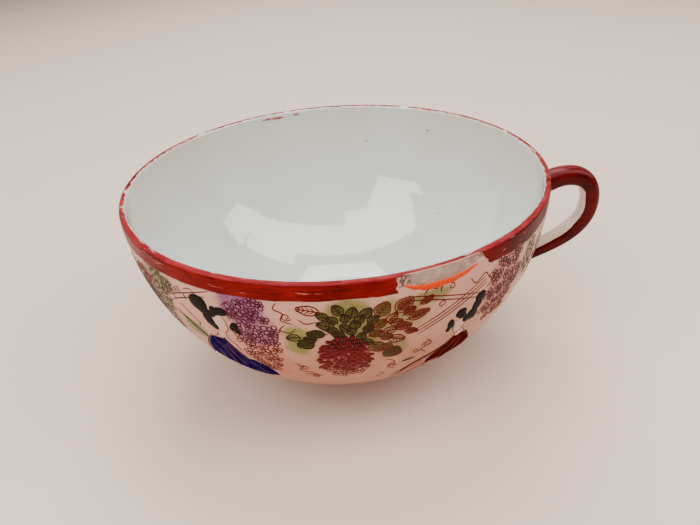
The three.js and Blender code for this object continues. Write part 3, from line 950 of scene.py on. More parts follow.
def through(points, steps=16):
    """A smooth curve through points (Catmull-Rom): on each stretch, a blend of four neighbours."""
    p = np.asarray(points, float)
    p = np.vstack([2 * p[0] - p[1], p, 2 * p[-1] - p[-2]])
    place = np.linspace(0, len(p) - 3 - 1e-6, steps)
    i, t = place.astype(int), (place % 1)[:, None]
    a, b, c, d = (p[i + k] for k in range(4))
    return 0.5 * (2 * b + (c - a) * t + (2 * a - 5 * b + 4 * c - d) * t ** 2 + (3 * b - a - 3 * c + d) * t ** 3)


def strokes(lines, width=0.26, steps=26, lift=0.04):
    """Pen strokes through lists of (alpha, s), thinner at both ends."""
    places = np.stack([through(line, steps) for line in lines])
    taper = 0.45 + 0.55 * np.sin(np.linspace(0.0, math.pi, steps)) ** 0.6
    return ribbons(places[..., 0], places[..., 1], width * taper[None, :], lift=lift)


def dabs(alpha, s, x, y, lift=0.03, dome=0.03, place=wall_point):
    """Low domes inside closed outlines. alpha and s place each dab's middle, and x and y, in mm, are its
    outline. Rings at 0.45 and 0.88 of the outline stand at lift + dome * (1 - share^2), and the outline
    itself lies just under the glaze. place gives the surface they stand on."""
    count, corners = x.shape
    shares = np.array([0.45, 0.88, 1.0])[None, :, None]
    lifts = np.where(shares < 1, lift + dome * (1 - shares ** 2), -SUNK)
    turn, down = beside(alpha[:, None, None], s[:, None, None], x[:, None, :] * shares, y[:, None, :] * shares)
    rings = place(turn, down, lifts).reshape(count, -1, 3)
    top, bottom = (place(alpha, s, level)[:, None] for level in (lift + dome, -SUNK))
    size = 3 * corners
    caps = [fan_faces(np.arange(corners)[::-1], size), fan_faces(np.arange(2 * corners, size), size + 1)]
    faces = np.vstack([grid_faces(3, corners), *caps])
    points = np.concatenate([rings, top, bottom], 1)
    faces = outward(points[0] - points[0].mean(0), faces)
    return points.reshape(-1, 3), repeat_faces(faces, count, size + 2)


def field(left, right, rows=26, columns=14, lift=0.06):
    """A sheet of enamel between two curves, with its edges brought down to the glaze: the lift is
    multiplied by (1 - u^8)(1 - v^8), with u and v from -1 to 1 across and along."""
    first, second = through(left, rows)[:, None], through(right, rows)[:, None]
    u = np.linspace(-1, 1, columns)[None, :]
    v = np.linspace(-1, 1, rows)[:, None]
    place = first + (second - first) * ((u + 1) / 2)[..., None]
    alpha, s = place[..., 0], place[..., 1]
    height = -0.04 + (lift + 0.04) * (1 - np.abs(u) ** 8) * (1 - np.abs(v) ** 8)
    grid = there_and_back(wall_point(alpha, s, height), wall_point(alpha, s, -0.1))
    return swept_solid(grid), there_and_back(np.stack([0.75 * alpha, s], -1)).reshape(-1, 2)


def turned_by(x, y, degrees):
    """x and y turned anticlockwise as seen from outside the cup, with y downwards."""
    angle = np.radians(degrees)
    return x * np.cos(angle) + y * np.sin(angle), -x * np.sin(angle) + y * np.cos(angle)


def oval(across, down, corners):
    """The outlines of ovals as rows of x and y, from their half sizes: (a cos t, b sin t)."""
    angle = np.linspace(0, 2 * math.pi, corners, endpoint=False)
    return np.outer(across, np.cos(angle)), np.outer(down, np.sin(angle))


def enamel(name, colour, lighter, roughness=0.35):
    """A painted enamel: one hue, a little lighter where it lies thinner."""
    material, tree, surface = new_material(name, roughness, specular=0.06)
    share = rescaled(tree, noise(tree, object_place(tree), 0.5, 3.0), 0.35, 0.75)
    use_colour(tree, surface, blend_colours(tree, share, colour, lighter))
    return material


INK = {
    "plum": enamel("enamel_plum_printed", "#42061a", "#5c1026"),
    "red": enamel("enamel_brown_red_printed", "#520c06", "#701a10"),
    "olive": enamel("enamel_olive_brown_printed", "#241206", "#40230f"),
    "black": enamel("enamel_black_dabbed", "#080302", "#1a0b08", 0.5),
    "leaf": enamel("enamel_leaf_green_dabbed", "#2c2c0a", "#484612"),
    "sage": enamel("enamel_sage_green_dabbed", "#4c4a1e", "#68622c"),
    "rose": enamel("enamel_rose_dabbed", "#622c1c", "#7a442c"),
    "crimson": enamel("enamel_crimson_dabbed", "#5e030a", "#880c18"),
    # pale pink petals of the crimson flower: painted highlights
    "pink_highlight": enamel("enamel_pink_painted_highlight", "#a84450", "#c66a70"),
    "skin": enamel("enamel_ivory_dabbed", "#cfa28e", "#dcb6a2"),
}
marks = {ink: [] for ink in INK}

# %% [markdown]
# ### Leaves
# A leaf is a pointed oval: along its length u from 0 to 1 the half width is sin(pi u^0.8)^0.8. It is
# outlined, and it has a midrib and four pairs of side veins. The darker leaves are filled as well.

# %% Leaves


def leaf_outline(length, width, corners=26):
    """x and y of a leaf's outline, with its stalk end at the left."""
    half = corners // 2
    u = (np.arange(half) + 0.5) / half
    wide = np.sin(math.pi * u ** 0.8) ** 0.8
    x = np.concatenate([u, u[::-1]]) - 0.5
    y = np.concatenate([wide, -wide[::-1]]) / 2
    return np.outer(length, x), np.outer(width, y)


# alpha, s, length, width, heading, filled
LEAVES = np.array([
    (-7.6, 5.3, 4.2, 2.1, 168, 0), (-1.6, 5.4, 2.7, 2.0, 120, 0), (1.3, 6.2, 2.6, 2.1, 75, 0),
    (4.2, 6.6, 2.7, 2.1, 50, 0), (7.6, 6.2, 3.5, 2.9, 58, 0), (12.2, 6.1, 4.0, 3.1, 38, 0),
    (-4.4, 8.9, 3.3, 2.2, 160, 0), (-6.6, 11.0, 3.4, 2.1, 175, 1), (-9.2, 14.0, 3.4, 2.9, 200, 1),
    (15.6, 9.2, 4.3, 2.1, 16, 0), (12.2, 11.3, 3.4, 2.1, -8, 0), (6.5, 16.2, 3.7, 2.9, -62, 0),
    (11.0, 14.6, 3.3, 2.3, -20, 0), (10.4, 18.9, 4.2, 3.6, -38, 1), (1.8, 9.0, 2.3, 1.9, 100, 0),
    (4.6, 10.4, 2.4, 2.0, 70, 1), (-0.4, 9.7, 2.3, 1.8, 130, 0), (7.1, 9.6, 2.6, 2.1, 40, 0),
    (-1.9, 11.4, 2.6, 1.9, 150, 1), (9.3, 11.8, 2.6, 1.9, 10, 0), (3.0, 12.4, 2.4, 1.8, 85, 0),
    (17.2, 6.2, 2.8, 1.5, 25, 0), (-4.9, 6.6, 2.4, 1.7, 145, 0), (14.2, 13.2, 2.6, 1.6, -15, 0),
    (-0.2, 7.4, 2.2, 1.7, 95, 0), (2.8, 7.9, 2.3, 1.8, 60, 0), (5.6, 8.3, 2.4, 1.8, 35, 0),
    (0.9, 10.6, 2.2, 1.7, 110, 0), (-2.9, 7.6, 2.3, 1.7, 140, 0), (6.2, 12.0, 2.5, 1.9, 20, 0),
    (8.6, 13.4, 2.6, 1.9, -15, 0), (9.6, 8.6, 2.6, 1.9, 48, 0), (-3.0, 10.2, 2.3, 1.6, 165, 0),
    (4.4, 14.2, 2.5, 1.8, -30, 0), (8.9, 16.6, 2.7, 2.0, -45, 0), (10.6, 9.9, 2.4, 1.7, 5, 0),
    (-11.6, 12.2, 2.6, 1.9, 190, 0), (-8.0, 12.4, 2.4, 1.7, 170, 1), (13.4, 7.8, 2.6, 1.7, 30, 0)])


def add_leaves(turn):
    """All the leaves, turned round the cup: fills, outlines, midribs and side veins. Leaves that aren't
    filled dark are green in the middle of the clump and rosy at its right, and there the ink is red."""
    alpha, s, length, width, heading, filled = LEAVES.T
    full = filled > 0
    green = ~full & (alpha > -5.5) & (alpha < 9)
    rosy = ~full & (alpha > 11)
    red = (alpha + 0.35 * s > 9.5) | (alpha < -7) & (s < 6)
    alpha = alpha + turn
    x, y = turned_by(*leaf_outline(length, width), heading[:, None])
    for key, chosen, share, lift, dome in (("leaf", full, 1, 0.02, 0.03), ("sage", green, 0.95, 0.02, 0.02),
                                           ("rose", rosy, 0.9, 0.015, 0.02)):
        marks[key].append(dabs(alpha[chosen], s[chosen], share * x[chosen], share * y[chosen], lift, dome))
    around, down = beside(alpha[:, None], s[:, None], x, y)
    for key, chosen in (("red", red), ("olive", ~red)):
        marks[key].append(ribbons(around[chosen], down[chosen], 0.27, closed=True, lift=0.07))
        column = lambda values: values[chosen, None]
        inside_leaf = lambda x, y: beside(column(alpha), column(s), *turned_by(x, y, column(heading)))
        midrib = inside_leaf(column(length) * np.linspace(-0.62, 0.42, 9), 0)
        marks[key].append(ribbons(*midrib, 0.24, lift=0.075))
        t = np.linspace(0, 1, 4)
        for start in (-0.3, -0.1, 0.1, 0.26):
            for side in (-0.36, 0.36):
                vein_y = column(width) * side * t * (1.1 - 1.2 * abs(start))
                vein = inside_leaf(column(length) * (start + 0.17 * t), vein_y)
                marks[key].append(ribbons(*vein, 0.17, lift=0.07))


for turn in TURNS:
    add_leaves(turn)
print(len(LEAVES), "leaves on each side")

# %% [markdown]
# ### Hanging blossom
# The blossom hangs in long bunches. Each floret is five petal loops round a dot. The florets stand on a
# staggered grid that is cut to the bunch's outline and shaken a little, with fewer towards the tip.

# %% Hanging blossom


def scatter(inside, low, high, spacing, shake):
    """Places on a staggered grid in mm between low and high that satisfy inside(x, y)."""
    x, y = np.meshgrid(np.arange(low[0], high[0], spacing), np.arange(low[1], high[1], spacing * 0.87))
    x = x + spacing / 2 * (np.arange(x.shape[0]) % 2)[:, None]
    x, y = x.ravel() + rng.uniform(-shake, shake, x.size), y.ravel() + rng.uniform(-shake, shake, x.size)
    keep = inside(x, y)
    return x[keep], y[keep]


def florets(alpha, s, radius, key):
    """Rings of petal loops round a dot, for rows of middles and radii. A loop is an oval that reaches from
    a quarter of the radius to all of it."""
    count, petals = len(alpha), 5
    first = rng.uniform(0, 6.3, count)[:, None, None]
    angle = first + np.arange(petals)[None, :, None] * 2 * math.pi / petals
    t = np.linspace(0, 2 * math.pi, 12, endpoint=False)[None, None, :]
    r = radius[:, None, None] * rng.uniform(0.75, 1.3, (count, petals, 1))
    along, across = r * (0.62 + 0.36 * np.cos(t)), r * 0.33 * np.sin(t)
    x = along * np.cos(angle) - across * np.sin(angle)
    y = along * np.sin(angle) + across * np.cos(angle)
    around, down = beside(alpha[:, None, None], s[:, None, None], x, y)
    marks[key].append(ribbons(around.reshape(-1, 12), down.reshape(-1, 12), 0.27, closed=True, lift=0.045))
    marks[key].append(dabs(alpha, s, *oval(0.17 * radius, 0.17 * radius, 6), 0.04, 0.02))


def bunch(turn, middle, reach, half_width, split, keys):
    """A hanging bunch from middle = (alpha, s at its top), reach mm long. Its half width narrows to the
    tip as the root of 1 - (y / reach)^3. Above split mm its ink is the first key and below it the second."""
    narrowing = lambda y: (1 - (np.clip(y, 0, reach) / reach) ** 3) ** 0.5 * (0.75 + 0.25 * smooth(y, 0, 4))
    inside = lambda x, y: np.abs(x) < half_width * narrowing(y)
    x, y = scatter(inside, (-half_width, 0), (half_width, reach), 2.3, 0.55)
    alpha, s = beside(middle[0] + turn, middle[1], x, y)
    radius = rng.uniform(1.0, 1.4, len(x))
    for key, chosen in zip(keys, (y < split, y >= split)):
        florets(alpha[chosen], s[chosen], radius[chosen], key)


for turn in TURNS:
    bunch(turn, (-20.2, 4.6), 22, 4.2, 10, ("plum", "red"))
    bunch(turn, (39.5, 4.6), 16, 5.0, 11, ("plum", "red"))
    bunch(turn, (-54.0, 5.5), 12, 3.4, 4, ("red", "olive"))
print(len(marks["plum"]), "groups of plum lines")

# %% [markdown]
# ### The crimson flower
# One large flower sits in the middle of the front. Its heart is dark, its petals are short, plump dabs
# that point outwards, and a few pale ones catch the light. Towards the bottom the fill gives out and
# only the red outlines go on.

# %% Crimson flower


def crimson_flower(turn):
    """Petals on a staggered grid inside an oval, each headed away from a point above the middle. Those
    whose shaken y is above 4.6 mm are filled, about one in six of them pale pink as a painted highlight."""
    middle, radius = (-0.8 + turn, 19.0), 4.9
    inside = lambda x, y: np.hypot(x / radius, (y - 0.6) / 7.6) < 1
    x, y = scatter(inside, (-radius, -7.4), (radius, 8.6), 1.12, 0.22)
    heading = np.degrees(np.arctan2(-(y + 3), x)) + rng.uniform(-25, 25, len(x))
    alpha, s = beside(*middle, x, y)
    size = rng.uniform(0.55, 0.78, len(x))
    petal_x, petal_y = turned_by(*oval(size, size * 0.62, 10), heading[:, None])
    filled = y + rng.uniform(-1.2, 1.2, len(x)) < 4.6
    # painted highlight: about one filled petal in six is made pale pink
    pale = filled & (rng.uniform(0, 1, len(x)) < 0.16) & (y > -4.5)
    for key, chosen, share, lift in (("crimson", filled & ~pale, 1, 0.05), ("pink_highlight", pale, 0.6, 0.06)):
        marks[key].append(dabs(alpha[chosen], s[chosen], share * petal_x[chosen], share * petal_y[chosen],
                               lift, 0.06))
    around, down = beside(alpha[:, None], s[:, None], 1.05 * petal_x, 1.05 * petal_y)
    marks["red"].append(ribbons(around, down, 0.17, closed=True, lift=0.075))
    top = y < -3.2
    marks["black"].append(ribbons(around[top], down[top], 0.2, closed=True, lift=0.085))


for turn in TURNS:
    crimson_flower(turn)
print(len(marks["crimson"]), "crimson flowers")

# %% [markdown]
# ### Two figures in robes
# Two figures stand among the flowers, each a few dabs and strokes: dressed hair, a plain face with no
# features, a collar and a long robe. A painter fills such a robe with one loaded brush, so each robe is
# a field of enamel with strokes on it for the folds.

# %% Figures


def add_dabs(key, turn, rows, lift=0.05, dome=0.05):
    """Oval dabs from rows of (alpha, s, half width in mm, half height in mm, heading)."""
    alpha, s, across, down, heading = np.array(rows, float).T
    x, y = oval(across, down, 18)
    uneven = 1 + 0.07 * ripple(x + 9 * np.arange(len(alpha))[:, None], y, 1.6, 43)
    x, y = turned_by(x * uneven, y * uneven, heading[:, None])
    marks[key].append(dabs(alpha + turn, s, x, y, lift, dome))


def turned_lines(turn, lines):
    """Lists of (alpha, s), turned round the cup."""
    return [[(alpha + turn, s) for alpha, s in line] for line in lines]


def add_strokes(key, turn, lines, width=0.26, lift=0.045):
    """Strokes turned round the cup."""
    marks[key].append(strokes(turned_lines(turn, lines), width, lift=lift))


def add_robe(key, turn, left, right, *settings):
    """A field between two curves, turned round the cup."""
    robes[key].append(field(*turned_lines(turn, (left, right)), *settings))


robes = {"indigo": [], "russet": []}


def left_figure(turn):
    """A figure in indigo: hair, face, the lines of face and collar, robe and sleeve, and folds."""
    add_dabs("black", turn, [
        (-33.2, 7.2, 2.3, 2.1, 15), (-32.2, 8.6, 1.5, 1.4, 0), (-27.6, 8.0, 1.9, 1.15, 12),
        (-29.2, 8.2, 1.0, 1.3, 0), (-30.6, 9.2, 1.3, 1.0, 0), (-31.6, 11.0, 1.25, 2.2, 18),
        (-30.6, 12.6, 0.9, 1.0, 0), (-25.2, 11.4, 0.85, 1.6, -32), (-24.5, 12.6, 0.7, 0.8, 0)])
    add_dabs("skin", turn, [(-28.8, 11.3, 1.7, 2.5, 5), (-29.6, 14.2, 1.0, 1.4, 0)], 0.02, 0.03)
    add_strokes("red", turn, [
        [(-30.6, 9.9), (-30.9, 11.6), (-30.1, 13.2), (-28.6, 14.0)],
        [(-28.6, 14.0), (-27.2, 12.8), (-26.9, 10.9), (-27.4, 9.3)],
        [(-30.2, 13.4), (-31.2, 15.2), (-33.2, 16.6)],
        [(-28.4, 14.0), (-28.2, 15.6), (-26.9, 17.6), (-26.3, 19.6)],
        [(-26.8, 6.3), (-24.8, 5.0), (-23.6, 5.6)], [(-36.5, 4.9), (-34.5, 4.4), (-33.0, 5.3)]], 0.24)
    add_robe("indigo", turn, [(-33.6, 16.0), (-37.0, 19.5), (-40.0, 24.0), (-43.5, 29.0), (-46.5, 35.0)],
             [(-29.8, 15.8), (-28.0, 19.4), (-26.0, 23.0), (-22.4, 27.0), (-21.6, 33.0)])
    add_robe("indigo", turn, [(-29.0, 22.6), (-27.6, 24.2), (-25.6, 27.2), (-24.2, 31.5)],
             [(-24.6, 22.4), (-22.2, 23.9), (-20.6, 26.4), (-20.0, 30.6)], 14, 12, 0.09)
    add_strokes("plum", turn, [
        [(-33.6, 16.0), (-37.0, 19.5), (-40.0, 24.0), (-43.5, 29.0)],
        [(-29.8, 15.8), (-28.0, 19.4), (-26.0, 23.0)],
        [(-32.4, 17.5), (-31.8, 21.5), (-33.0, 26.5), (-35.5, 32.0)],
        [(-30.4, 18.0), (-29.6, 22.5), (-29.2, 27.0)], [(-35.5, 20.5), (-36.0, 24.5), (-38.5, 30.0)],
        [(-26.5, 23.5), (-24.5, 26.5), (-23.4, 31.0)]], 0.34, 0.13)


def right_figure(turn):
    """A figure in russet, looking down to the left, with a long train."""
    add_dabs("black", turn, [(31.8, 10.6, 1.4, 1.5, 0), (31.4, 12.4, 1.3, 1.9, -8), (30.6, 14.8, 1.45, 1.9, 15),
                             (29.2, 15.4, 1.2, 1.2, 0), (26.8, 12.9, 1.35, 1.3, 0), (27.4, 14.0, 1.2, 0.8, -20),
                             (24.6, 15.4, 0.85, 1.7, 12), (24.2, 16.8, 0.6, 0.9, 0)])
    add_dabs("skin", turn, [(27.3, 16.9, 1.45, 2.1, -8), (28.3, 19.6, 0.9, 1.3, 0)], 0.02, 0.03)
    add_strokes("red", turn, [
        [(25.6, 15.6), (25.8, 17.6), (26.9, 19.2)], [(26.9, 19.2), (28.4, 18.6), (29.2, 16.8)],
        [(27.0, 19.4), (26.8, 21.2), (24.0, 23.4), (19.0, 26.0)],
        [(29.4, 18.6), (30.6, 20.6), (33.2, 23.4)]], 0.24)
    add_robe("russet", turn, [(27.2, 20.0), (24.8, 22.8), (22.4, 25.4), (21.4, 28.0), (21.6, 31.0)],
             [(31.4, 20.0), (33.8, 23.0), (36.2, 26.4), (37.6, 29.4), (38.6, 33.0)])
    add_strokes("olive", turn, [
        [(27.0, 20.6), (24.6, 23.4), (18.5, 26.4), (14.6, 30.5)], [(31.2, 20.6), (33.6, 23.4), (36.4, 27.4)],
        [(28.6, 21.5), (27.0, 26.0), (22.0, 31.5)], [(30.0, 21.5), (30.4, 27.0), (28.8, 33.0)]], 0.34, 0.13)
    add_strokes("red", turn, [
        [(22.4, 25.4), (17.0, 28.0), (13.6, 31.5), (12.6, 35.5)], [(20.4, 27.6), (16.0, 30.6), (14.6, 35.0)],
        [(37.6, 29.4), (39.4, 33.0), (40.2, 37.0)], [(21.6, 31.0), (19.6, 34.0), (18.8, 38.0)]], 0.36)


for turn in TURNS:
    left_figure(turn)
    right_figure(turn)
print(len(robes["indigo"]) + len(robes["russet"]), "fields of robe")

# %% [markdown]
# ### Lines between the groups
# Pairs of ruled strokes suggest a roof edge and a fence, and curling tendrils fill the spaces.

# %% Roof lines and tendrils


def coil(alpha, s, radius, turns, start):
    """A tendril's places: a circle whose radius shrinks by six tenths, r (1 - 0.6 t)."""
    t = np.linspace(0, 1, 40)
    angle = math.radians(start) + 2 * math.pi * turns * t
    reach = radius * (1 - 0.6 * t)
    return np.stack(beside(alpha, s, reach * np.cos(angle), reach * np.sin(angle)), -1)


def tendrils(turn):
    """The roof edges and their rafters, the fence, the tendrils with their coils, and one green blade."""
    add_strokes("olive", turn, [
        [(-43.0, 8.3), (-38.0, 6.4), (-29.0, 3.6)], [(-42.4, 9.3), (-37.6, 7.4), (-30.5, 5.2)],
        [(-41.0, 7.4), (-40.6, 8.9)], [(-37.2, 5.9), (-36.8, 7.5)]], 0.3)
    add_strokes("red", turn, [
        [(12.5, 4.6), (18.0, 5.7), (31.0, 9.3)], [(12.7, 5.5), (18.2, 6.6), (30.4, 10.2)],
        [(15.0, 13.2), (20.0, 11.1), (26.0, 8.5), (32.0, 5.8)],
        [(15.4, 14.0), (20.4, 11.9), (26.4, 9.3), (32.4, 6.6)],
        [(15.8, 14.8), (20.8, 12.7), (26.8, 10.1), (32.8, 7.4)],
        [(-13.8, 3.9), (-14.6, 5.2), (-12.8, 6.2), (-13.4, 7.8), (-11.0, 8.6)],
        [(-12.8, 8.9), (-14.0, 10.2), (-12.0, 10.9), (-10.6, 9.8)], [(-9.8, 7.4), (-8.2, 8.4), (-6.2, 8.0)],
        [(-13.2, 21.0), (-11.4, 22.4), (-12.6, 24.2), (-9.6, 25.4), (-7.4, 27.4)],
        [(-11.8, 26.0), (-9.2, 26.6), (-8.6, 28.6)], [(18.6, 17.4), (20.2, 19.2), (18.0, 20.8), (19.8, 22.8)],
        [(9.2, 21.6), (11.4, 23.2), (9.8, 25.4), (12.2, 27.2)], [(7.6, 27.6), (9.4, 29.2), (7.4, 31.0)],
        [(27.6, 4.8), (29.4, 6.4), (31.8, 5.0), (33.4, 6.8)],
        [(16.4, 5.0), (17.4, 3.9), (19.4, 4.4)], [(20.4, 3.6), (20.2, 5.4)],
        [(33.0, 8.8), (35.0, 7.2), (34.4, 5.6)],
        [(-39.6, 9.4), (-37.4, 11.4), (-35.6, 13.2), (-36.4, 14.6)]], 0.32)
    add_dabs("leaf", turn, [(15.2, 24.0, 1.5, 0.5, 12)])
    add_strokes("sage", turn, [[(-42.4, 12.0), (-39.6, 14.8), (-36.6, 17.4), (-34.4, 19.2)]], 1.5, 0.03)
    add_strokes("leaf", turn, [[(-41.4, 13.4), (-38.8, 15.8), (-36.2, 18.0)],
                               [(-40.2, 13.2), (-37.4, 15.8), (-35.0, 18.6)]], 0.45, 0.05)
    curls = [coil(-12.2, 6.9, 0.9, 1.2, 30), coil(-11.4, 22.9, 1.0, 1.3, 200), coil(21.0, 8.2, 0.8, 1.1, 90),
             coil(19.2, 19.3, 1.1, 1.3, 160), coil(11.0, 24.6, 1.0, 1.2, 20), coil(-9.2, 27.2, 0.8, 1.1, 300),
             coil(-15.2, 11.9, 0.7, 1.0, 60), coil(22.8, 4.9, 0.7, 1.0, 250), coil(16.6, 20.8, 0.8, 1.1, 350)]
    places = np.stack(curls)
    marks["red"].append(ribbons(places[..., 0] + turn, places[..., 1], 0.2, lift=0.06))


for turn in TURNS:
    tendrils(turn)
print(len(marks["red"]), "groups of red lines")

# %% [markdown]
# ### Foliage
# Bushes close the scene at both sides. A painter stipples them with the tip of the brush: small leaning
# dabs, close together, with a row of short upright strokes for the grass.

# %% Foliage
# alpha, s, half size (mm), ink
BUSHES = [(-46.5, 8.5, 3.4, 5.8, "leaf"), (-42.6, 5.6, 1.8, 1.5, "leaf"), (-52, 17, 5.0, 6.0, "olive"),
          (-60, 12, 4.4, 7.0, "sage"), (-58, 29, 6.0, 4.0, "leaf"), (50.5, 8.8, 2.6, 4.6, "leaf"),
          (57.0, 13.0, 3.2, 6.5, "rose"), (66.0, 22.0, 4.5, 5.0, "sage")]


def foliage(turn):
    """Dabs on staggered grids inside the bushes' ovals, and every second blade of a row of grass."""
    for alpha, s, across, down, ink in BUSHES:
        inside = lambda x, y: np.hypot(x / across, y / down) < 1
        x, y = scatter(inside, (-across, -down), (across, down), 0.95, 0.35)
        size = rng.uniform(0.3, 0.7, len(x))
        outline = turned_by(*oval(size, size * 0.55, 8), rng.uniform(0, 180, len(x))[:, None])
        marks[ink].append(dabs(*beside(alpha + turn, s, x, y), *outline, 0.02, 0.03))
    lean = rng.uniform(-0.5, 0.5, 22)
    row = [(a, 7.4 - 0.3 * (a + 41), bend) for a, bend in zip(np.linspace(-45.5, -37.5, 22), lean)]
    blades = [[(a, foot), (a + bend / 2, foot - 1.0), (a + bend, foot - 1.8)] for a, foot, bend in row[::2]]
    add_strokes("olive", turn, blades, 0.2)


for turn in TURNS:
    foliage(turn)
print(len(BUSHES), "bushes on each side")

# %% [markdown]
# ### Into pieces
# Each ink becomes one piece. The robes' enamel is brushed, so its shader streaks a paler colour down the
# cloth in the direction of the flat places.

# %% Build the painting


def robe_enamel(name, deep, pale, share):
    """Thick enamel with paler brush streaks down the cloth."""
    material, tree, surface = new_material(name, 0.35, specular=0.0)
    leaned = stretched(tree, flat_place(tree), 1.0, 0.22, 1.0, rotation=(0, 0, math.radians(-38)))
    streaks = noise(tree, leaned, 0.9, 3.0, metres=False)
    amount = rescaled(tree, streaks, 0.5, 0.68, 0.0, share)
    use_colour(tree, surface, blend_colours(tree, amount, deep, pale))
    add_bump(tree, surface, streaks, 0.06, 0.5)
    return material


for ink, parts in marks.items():
    make_piece(f"painting_{ink}", together(parts), INK[ink], "red_enamel")
for robe, *look in (("indigo", "#150a3c", "#4c3880", 0.75), ("russet", "#480604", "#84240f", 0.5)):
    solids, places = zip(*robes[robe])
    make_piece(f"robe_{robe}", together(solids), robe_enamel(f"enamel_{robe}_brushed", *look), "red_enamel",
               uv=np.vstack(places))

# %% [markdown]
# ### Small marks
# Along the lower edge of the flake runs a bright orange line, brighter than the band. It is a tapered
# ribbon with a wandering width. Inside the cup, a few specks of iron came up through the glaze in the
# kiln, and the rim's enamel was smeared in two places: low domes on the inner wall.

# %% Orange line, kiln specks and smears
ORANGE = enamel("orange_line_at_chip_edge", "#d23600", "#e64a04")
steps = np.linspace(0, 1, 60)[None, :]
sliver_alpha = 11.9 + 17.4 * steps
wander = 0.92 + 0.1 * ripple(steps * 14, 0, 4.0, 41)
sliver_width = 1.45 * np.sin(math.pi * steps ** 0.92) ** 0.7 * wander + 0.06
sliver = ribbons(sliver_alpha, chip_edge(sliver_alpha) + 0.25 * sliver_width, sliver_width)
make_piece("chip_edge_orange_line", sliver, ORANGE, "red_enamel")


def inner_point(alpha, s, lift):
    """A point of the inner wall: the centre of the wall's circle plus (R - thickness - lift) times the
    normal, s mm down from the lip."""
    return wall_point(alpha, s, -wall_thickness(s) - lift)


def inner_dabs(rows, corners, uneven, dome):
    """Dabs on the inner wall from rows of (alpha, s, half width, half height), with an uneven height."""
    alpha, s, across, down = np.array(rows).T
    x, y = oval(across, down, corners)
    return dabs(alpha, s, x, y * (1 + uneven * ripple(x * 2, y, 1.5, 51)), 0.01, dome, inner_point)


specks = [(142.4, 6.2, 0.34, 0.34), (129.5, 30.3, 0.3, 0.3), (166.6, 11.1, 0.3, 0.3), (118.0, 19.0, 0.16, 0.16),
          (-141.0, 24.5, 0.17, 0.17)]
smears = [(-160.4, 1.35, 2.1, 0.42), (-156.6, 1.2, 2.0, 0.3), (-167.4, 1.1, 1.1, 0.34)]
make_piece("kiln_specks", inner_dabs(specks, 12, 0.0, 0.04),
           enamel("glaze_iron_speck", "#4a4038", "#6a5e52"), "porcelain")
make_piece("lip_smears", inner_dabs(smears, 24, 0.3, 0.02),
           enamel("enamel_red_smeared", "#9a4644", "#b87a74"), "lip_enamel")

# %% [markdown]
# ## The floor, the light and the camera
# The floor is a plain pale sheet. The glaze is glossy, so the light is seen as much as felt: a long
# narrow softbox across the room above the cup is the bright crescent inside the bowl, since the hollow
# bends a straight band of light into an arc, and a small softbox behind gives the spot low down inside.

# %% Floor and lights
floor_mesh = bpy.data.meshes.new("floor")
floor_mesh.from_pydata([(-4, -4, 0), (4, -4, 0), (4, 4, 0), (-4, 4, 0)], [], [(0, 1, 2, 3)])    # 8 m wide
floor = bpy.data.objects.new("floor", floor_mesh)
bpy.context.scene.collection.objects.link(floor)
floor_paint, _, floor_surface = new_material("floor_painted_matt", 0.75)
floor_surface.inputs["Base Color"].default_value = linear("#dcc5b4")
floor_mesh.materials.append(floor_paint)

TURN = math.radians(6.0)
TO_CAMERA = Vector((math.sin(TURN), -math.cos(TURN), 0))
TO_RIGHT = Vector((math.cos(TURN), math.sin(TURN), 0))
RIM_CENTRE = Vector((AXIS_X * MM, 0, LIP_TOP * MM))
LIGHT_HEIGHT = 0.6


def softbox(name, right, near, width, depth, radiance, heading=0.0):
    """A soft rectangular light that faces straight down from LIGHT_HEIGHT above the rim: its middle is
    right and near (towards the camera), in metres, and its power is radiance * pi * width * depth."""
    data = bpy.data.lights.new(name, "AREA")
    data.shape = "RECTANGLE"
    data.size, data.size_y = width, depth
    data.energy = radiance * math.pi * width * depth
    lamp = bpy.data.objects.new(name, data)
    lamp.location = RIM_CENTRE + TO_RIGHT * right + TO_CAMERA * near + Vector((0, 0, LIGHT_HEIGHT))
    lamp.rotation_euler = (0, 0, TURN + math.radians(heading))
    lamp.visible_camera = False
    bpy.context.scene.collection.objects.link(lamp)


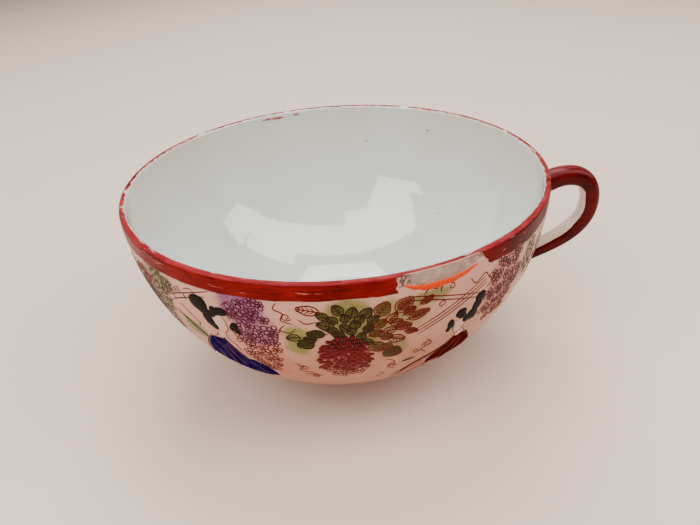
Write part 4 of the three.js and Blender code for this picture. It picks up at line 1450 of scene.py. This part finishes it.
softbox("softbox_long_middle", 0.145, 0.215, 1.61, 0.29, 5.4)
softbox("softbox_long_right", 1.40, 0.13, 0.90, 0.58, 5.0)
softbox("softbox_small_right", 0.60, 0.0, 0.60, 0.15, 5.0, 5)
softbox("softbox_small_left", -0.24, 0.43, 0.36, 0.16, 5.4)
softbox("softbox_wide_left", -0.605, 0.470, 0.57, 0.60, 5.4, -33.5)
softbox("softbox_far_left", -1.013, 0.807, 0.85, 0.40, 5.0, -33.5)
softbox("softbox_behind", 0.0, -0.50, 0.40, 0.92, 6.0)

world = bpy.data.worlds.new("studio")
bpy.context.scene.world = world
world.use_nodes = True
background = world.node_tree.nodes["Background"]
background.inputs["Color"].default_value = linear("#f4f1ec")
background.inputs["Strength"].default_value = 0.2
print(len(bpy.data.lights), "softboxes")

# %% [markdown]
# The camera looks down on the rim's middle from 13 cm away. Its axes are those of a camera
# that looks straight at the rim's middle, rolled, tilted and panned a little, as a camera is by hand.

# %% Camera
ELEVATION, ROLL, PAN, TILT = (math.radians(angle) for angle in (22.6, -4.5, -1.636, -9.677))
DISTANCE = 0.1334


def rotation(axis, angle):
    """The matrix of a turn about x, y or z (0, 1 or 2): cosines and sines in the plane of the other two."""
    first, second = (axis + 1) % 3, (axis + 2) % 3
    matrix = np.eye(3)
    matrix[first, first] = matrix[second, second] = math.cos(angle)
    matrix[first, second], matrix[second, first] = -math.sin(angle), math.sin(angle)
    return matrix


aimed = rotation(0, math.pi / 2 + ELEVATION) @ rotation(2, -TURN)
facing = rotation(1, PAN) @ rotation(0, -TILT) @ rotation(2, ROLL) @ aimed
to_lens = Vector(-aimed[2])
camera_data = bpy.data.cameras.new("camera")
camera_data.lens, camera_data.sensor_width = 28.8, 36.0
camera_data.clip_start = 0.005
camera = bpy.data.objects.new("camera", camera_data)
axes = Matrix(np.stack([facing[0], -facing[1], -facing[2]], 1).tolist()).to_4x4()
camera.matrix_world = Matrix.Translation(RIM_CENTRE + to_lens * DISTANCE) @ axes
bpy.context.scene.collection.objects.link(camera)
bpy.context.scene.camera = camera
print("camera at", [round(value, 4) for value in camera.matrix_world.translation])
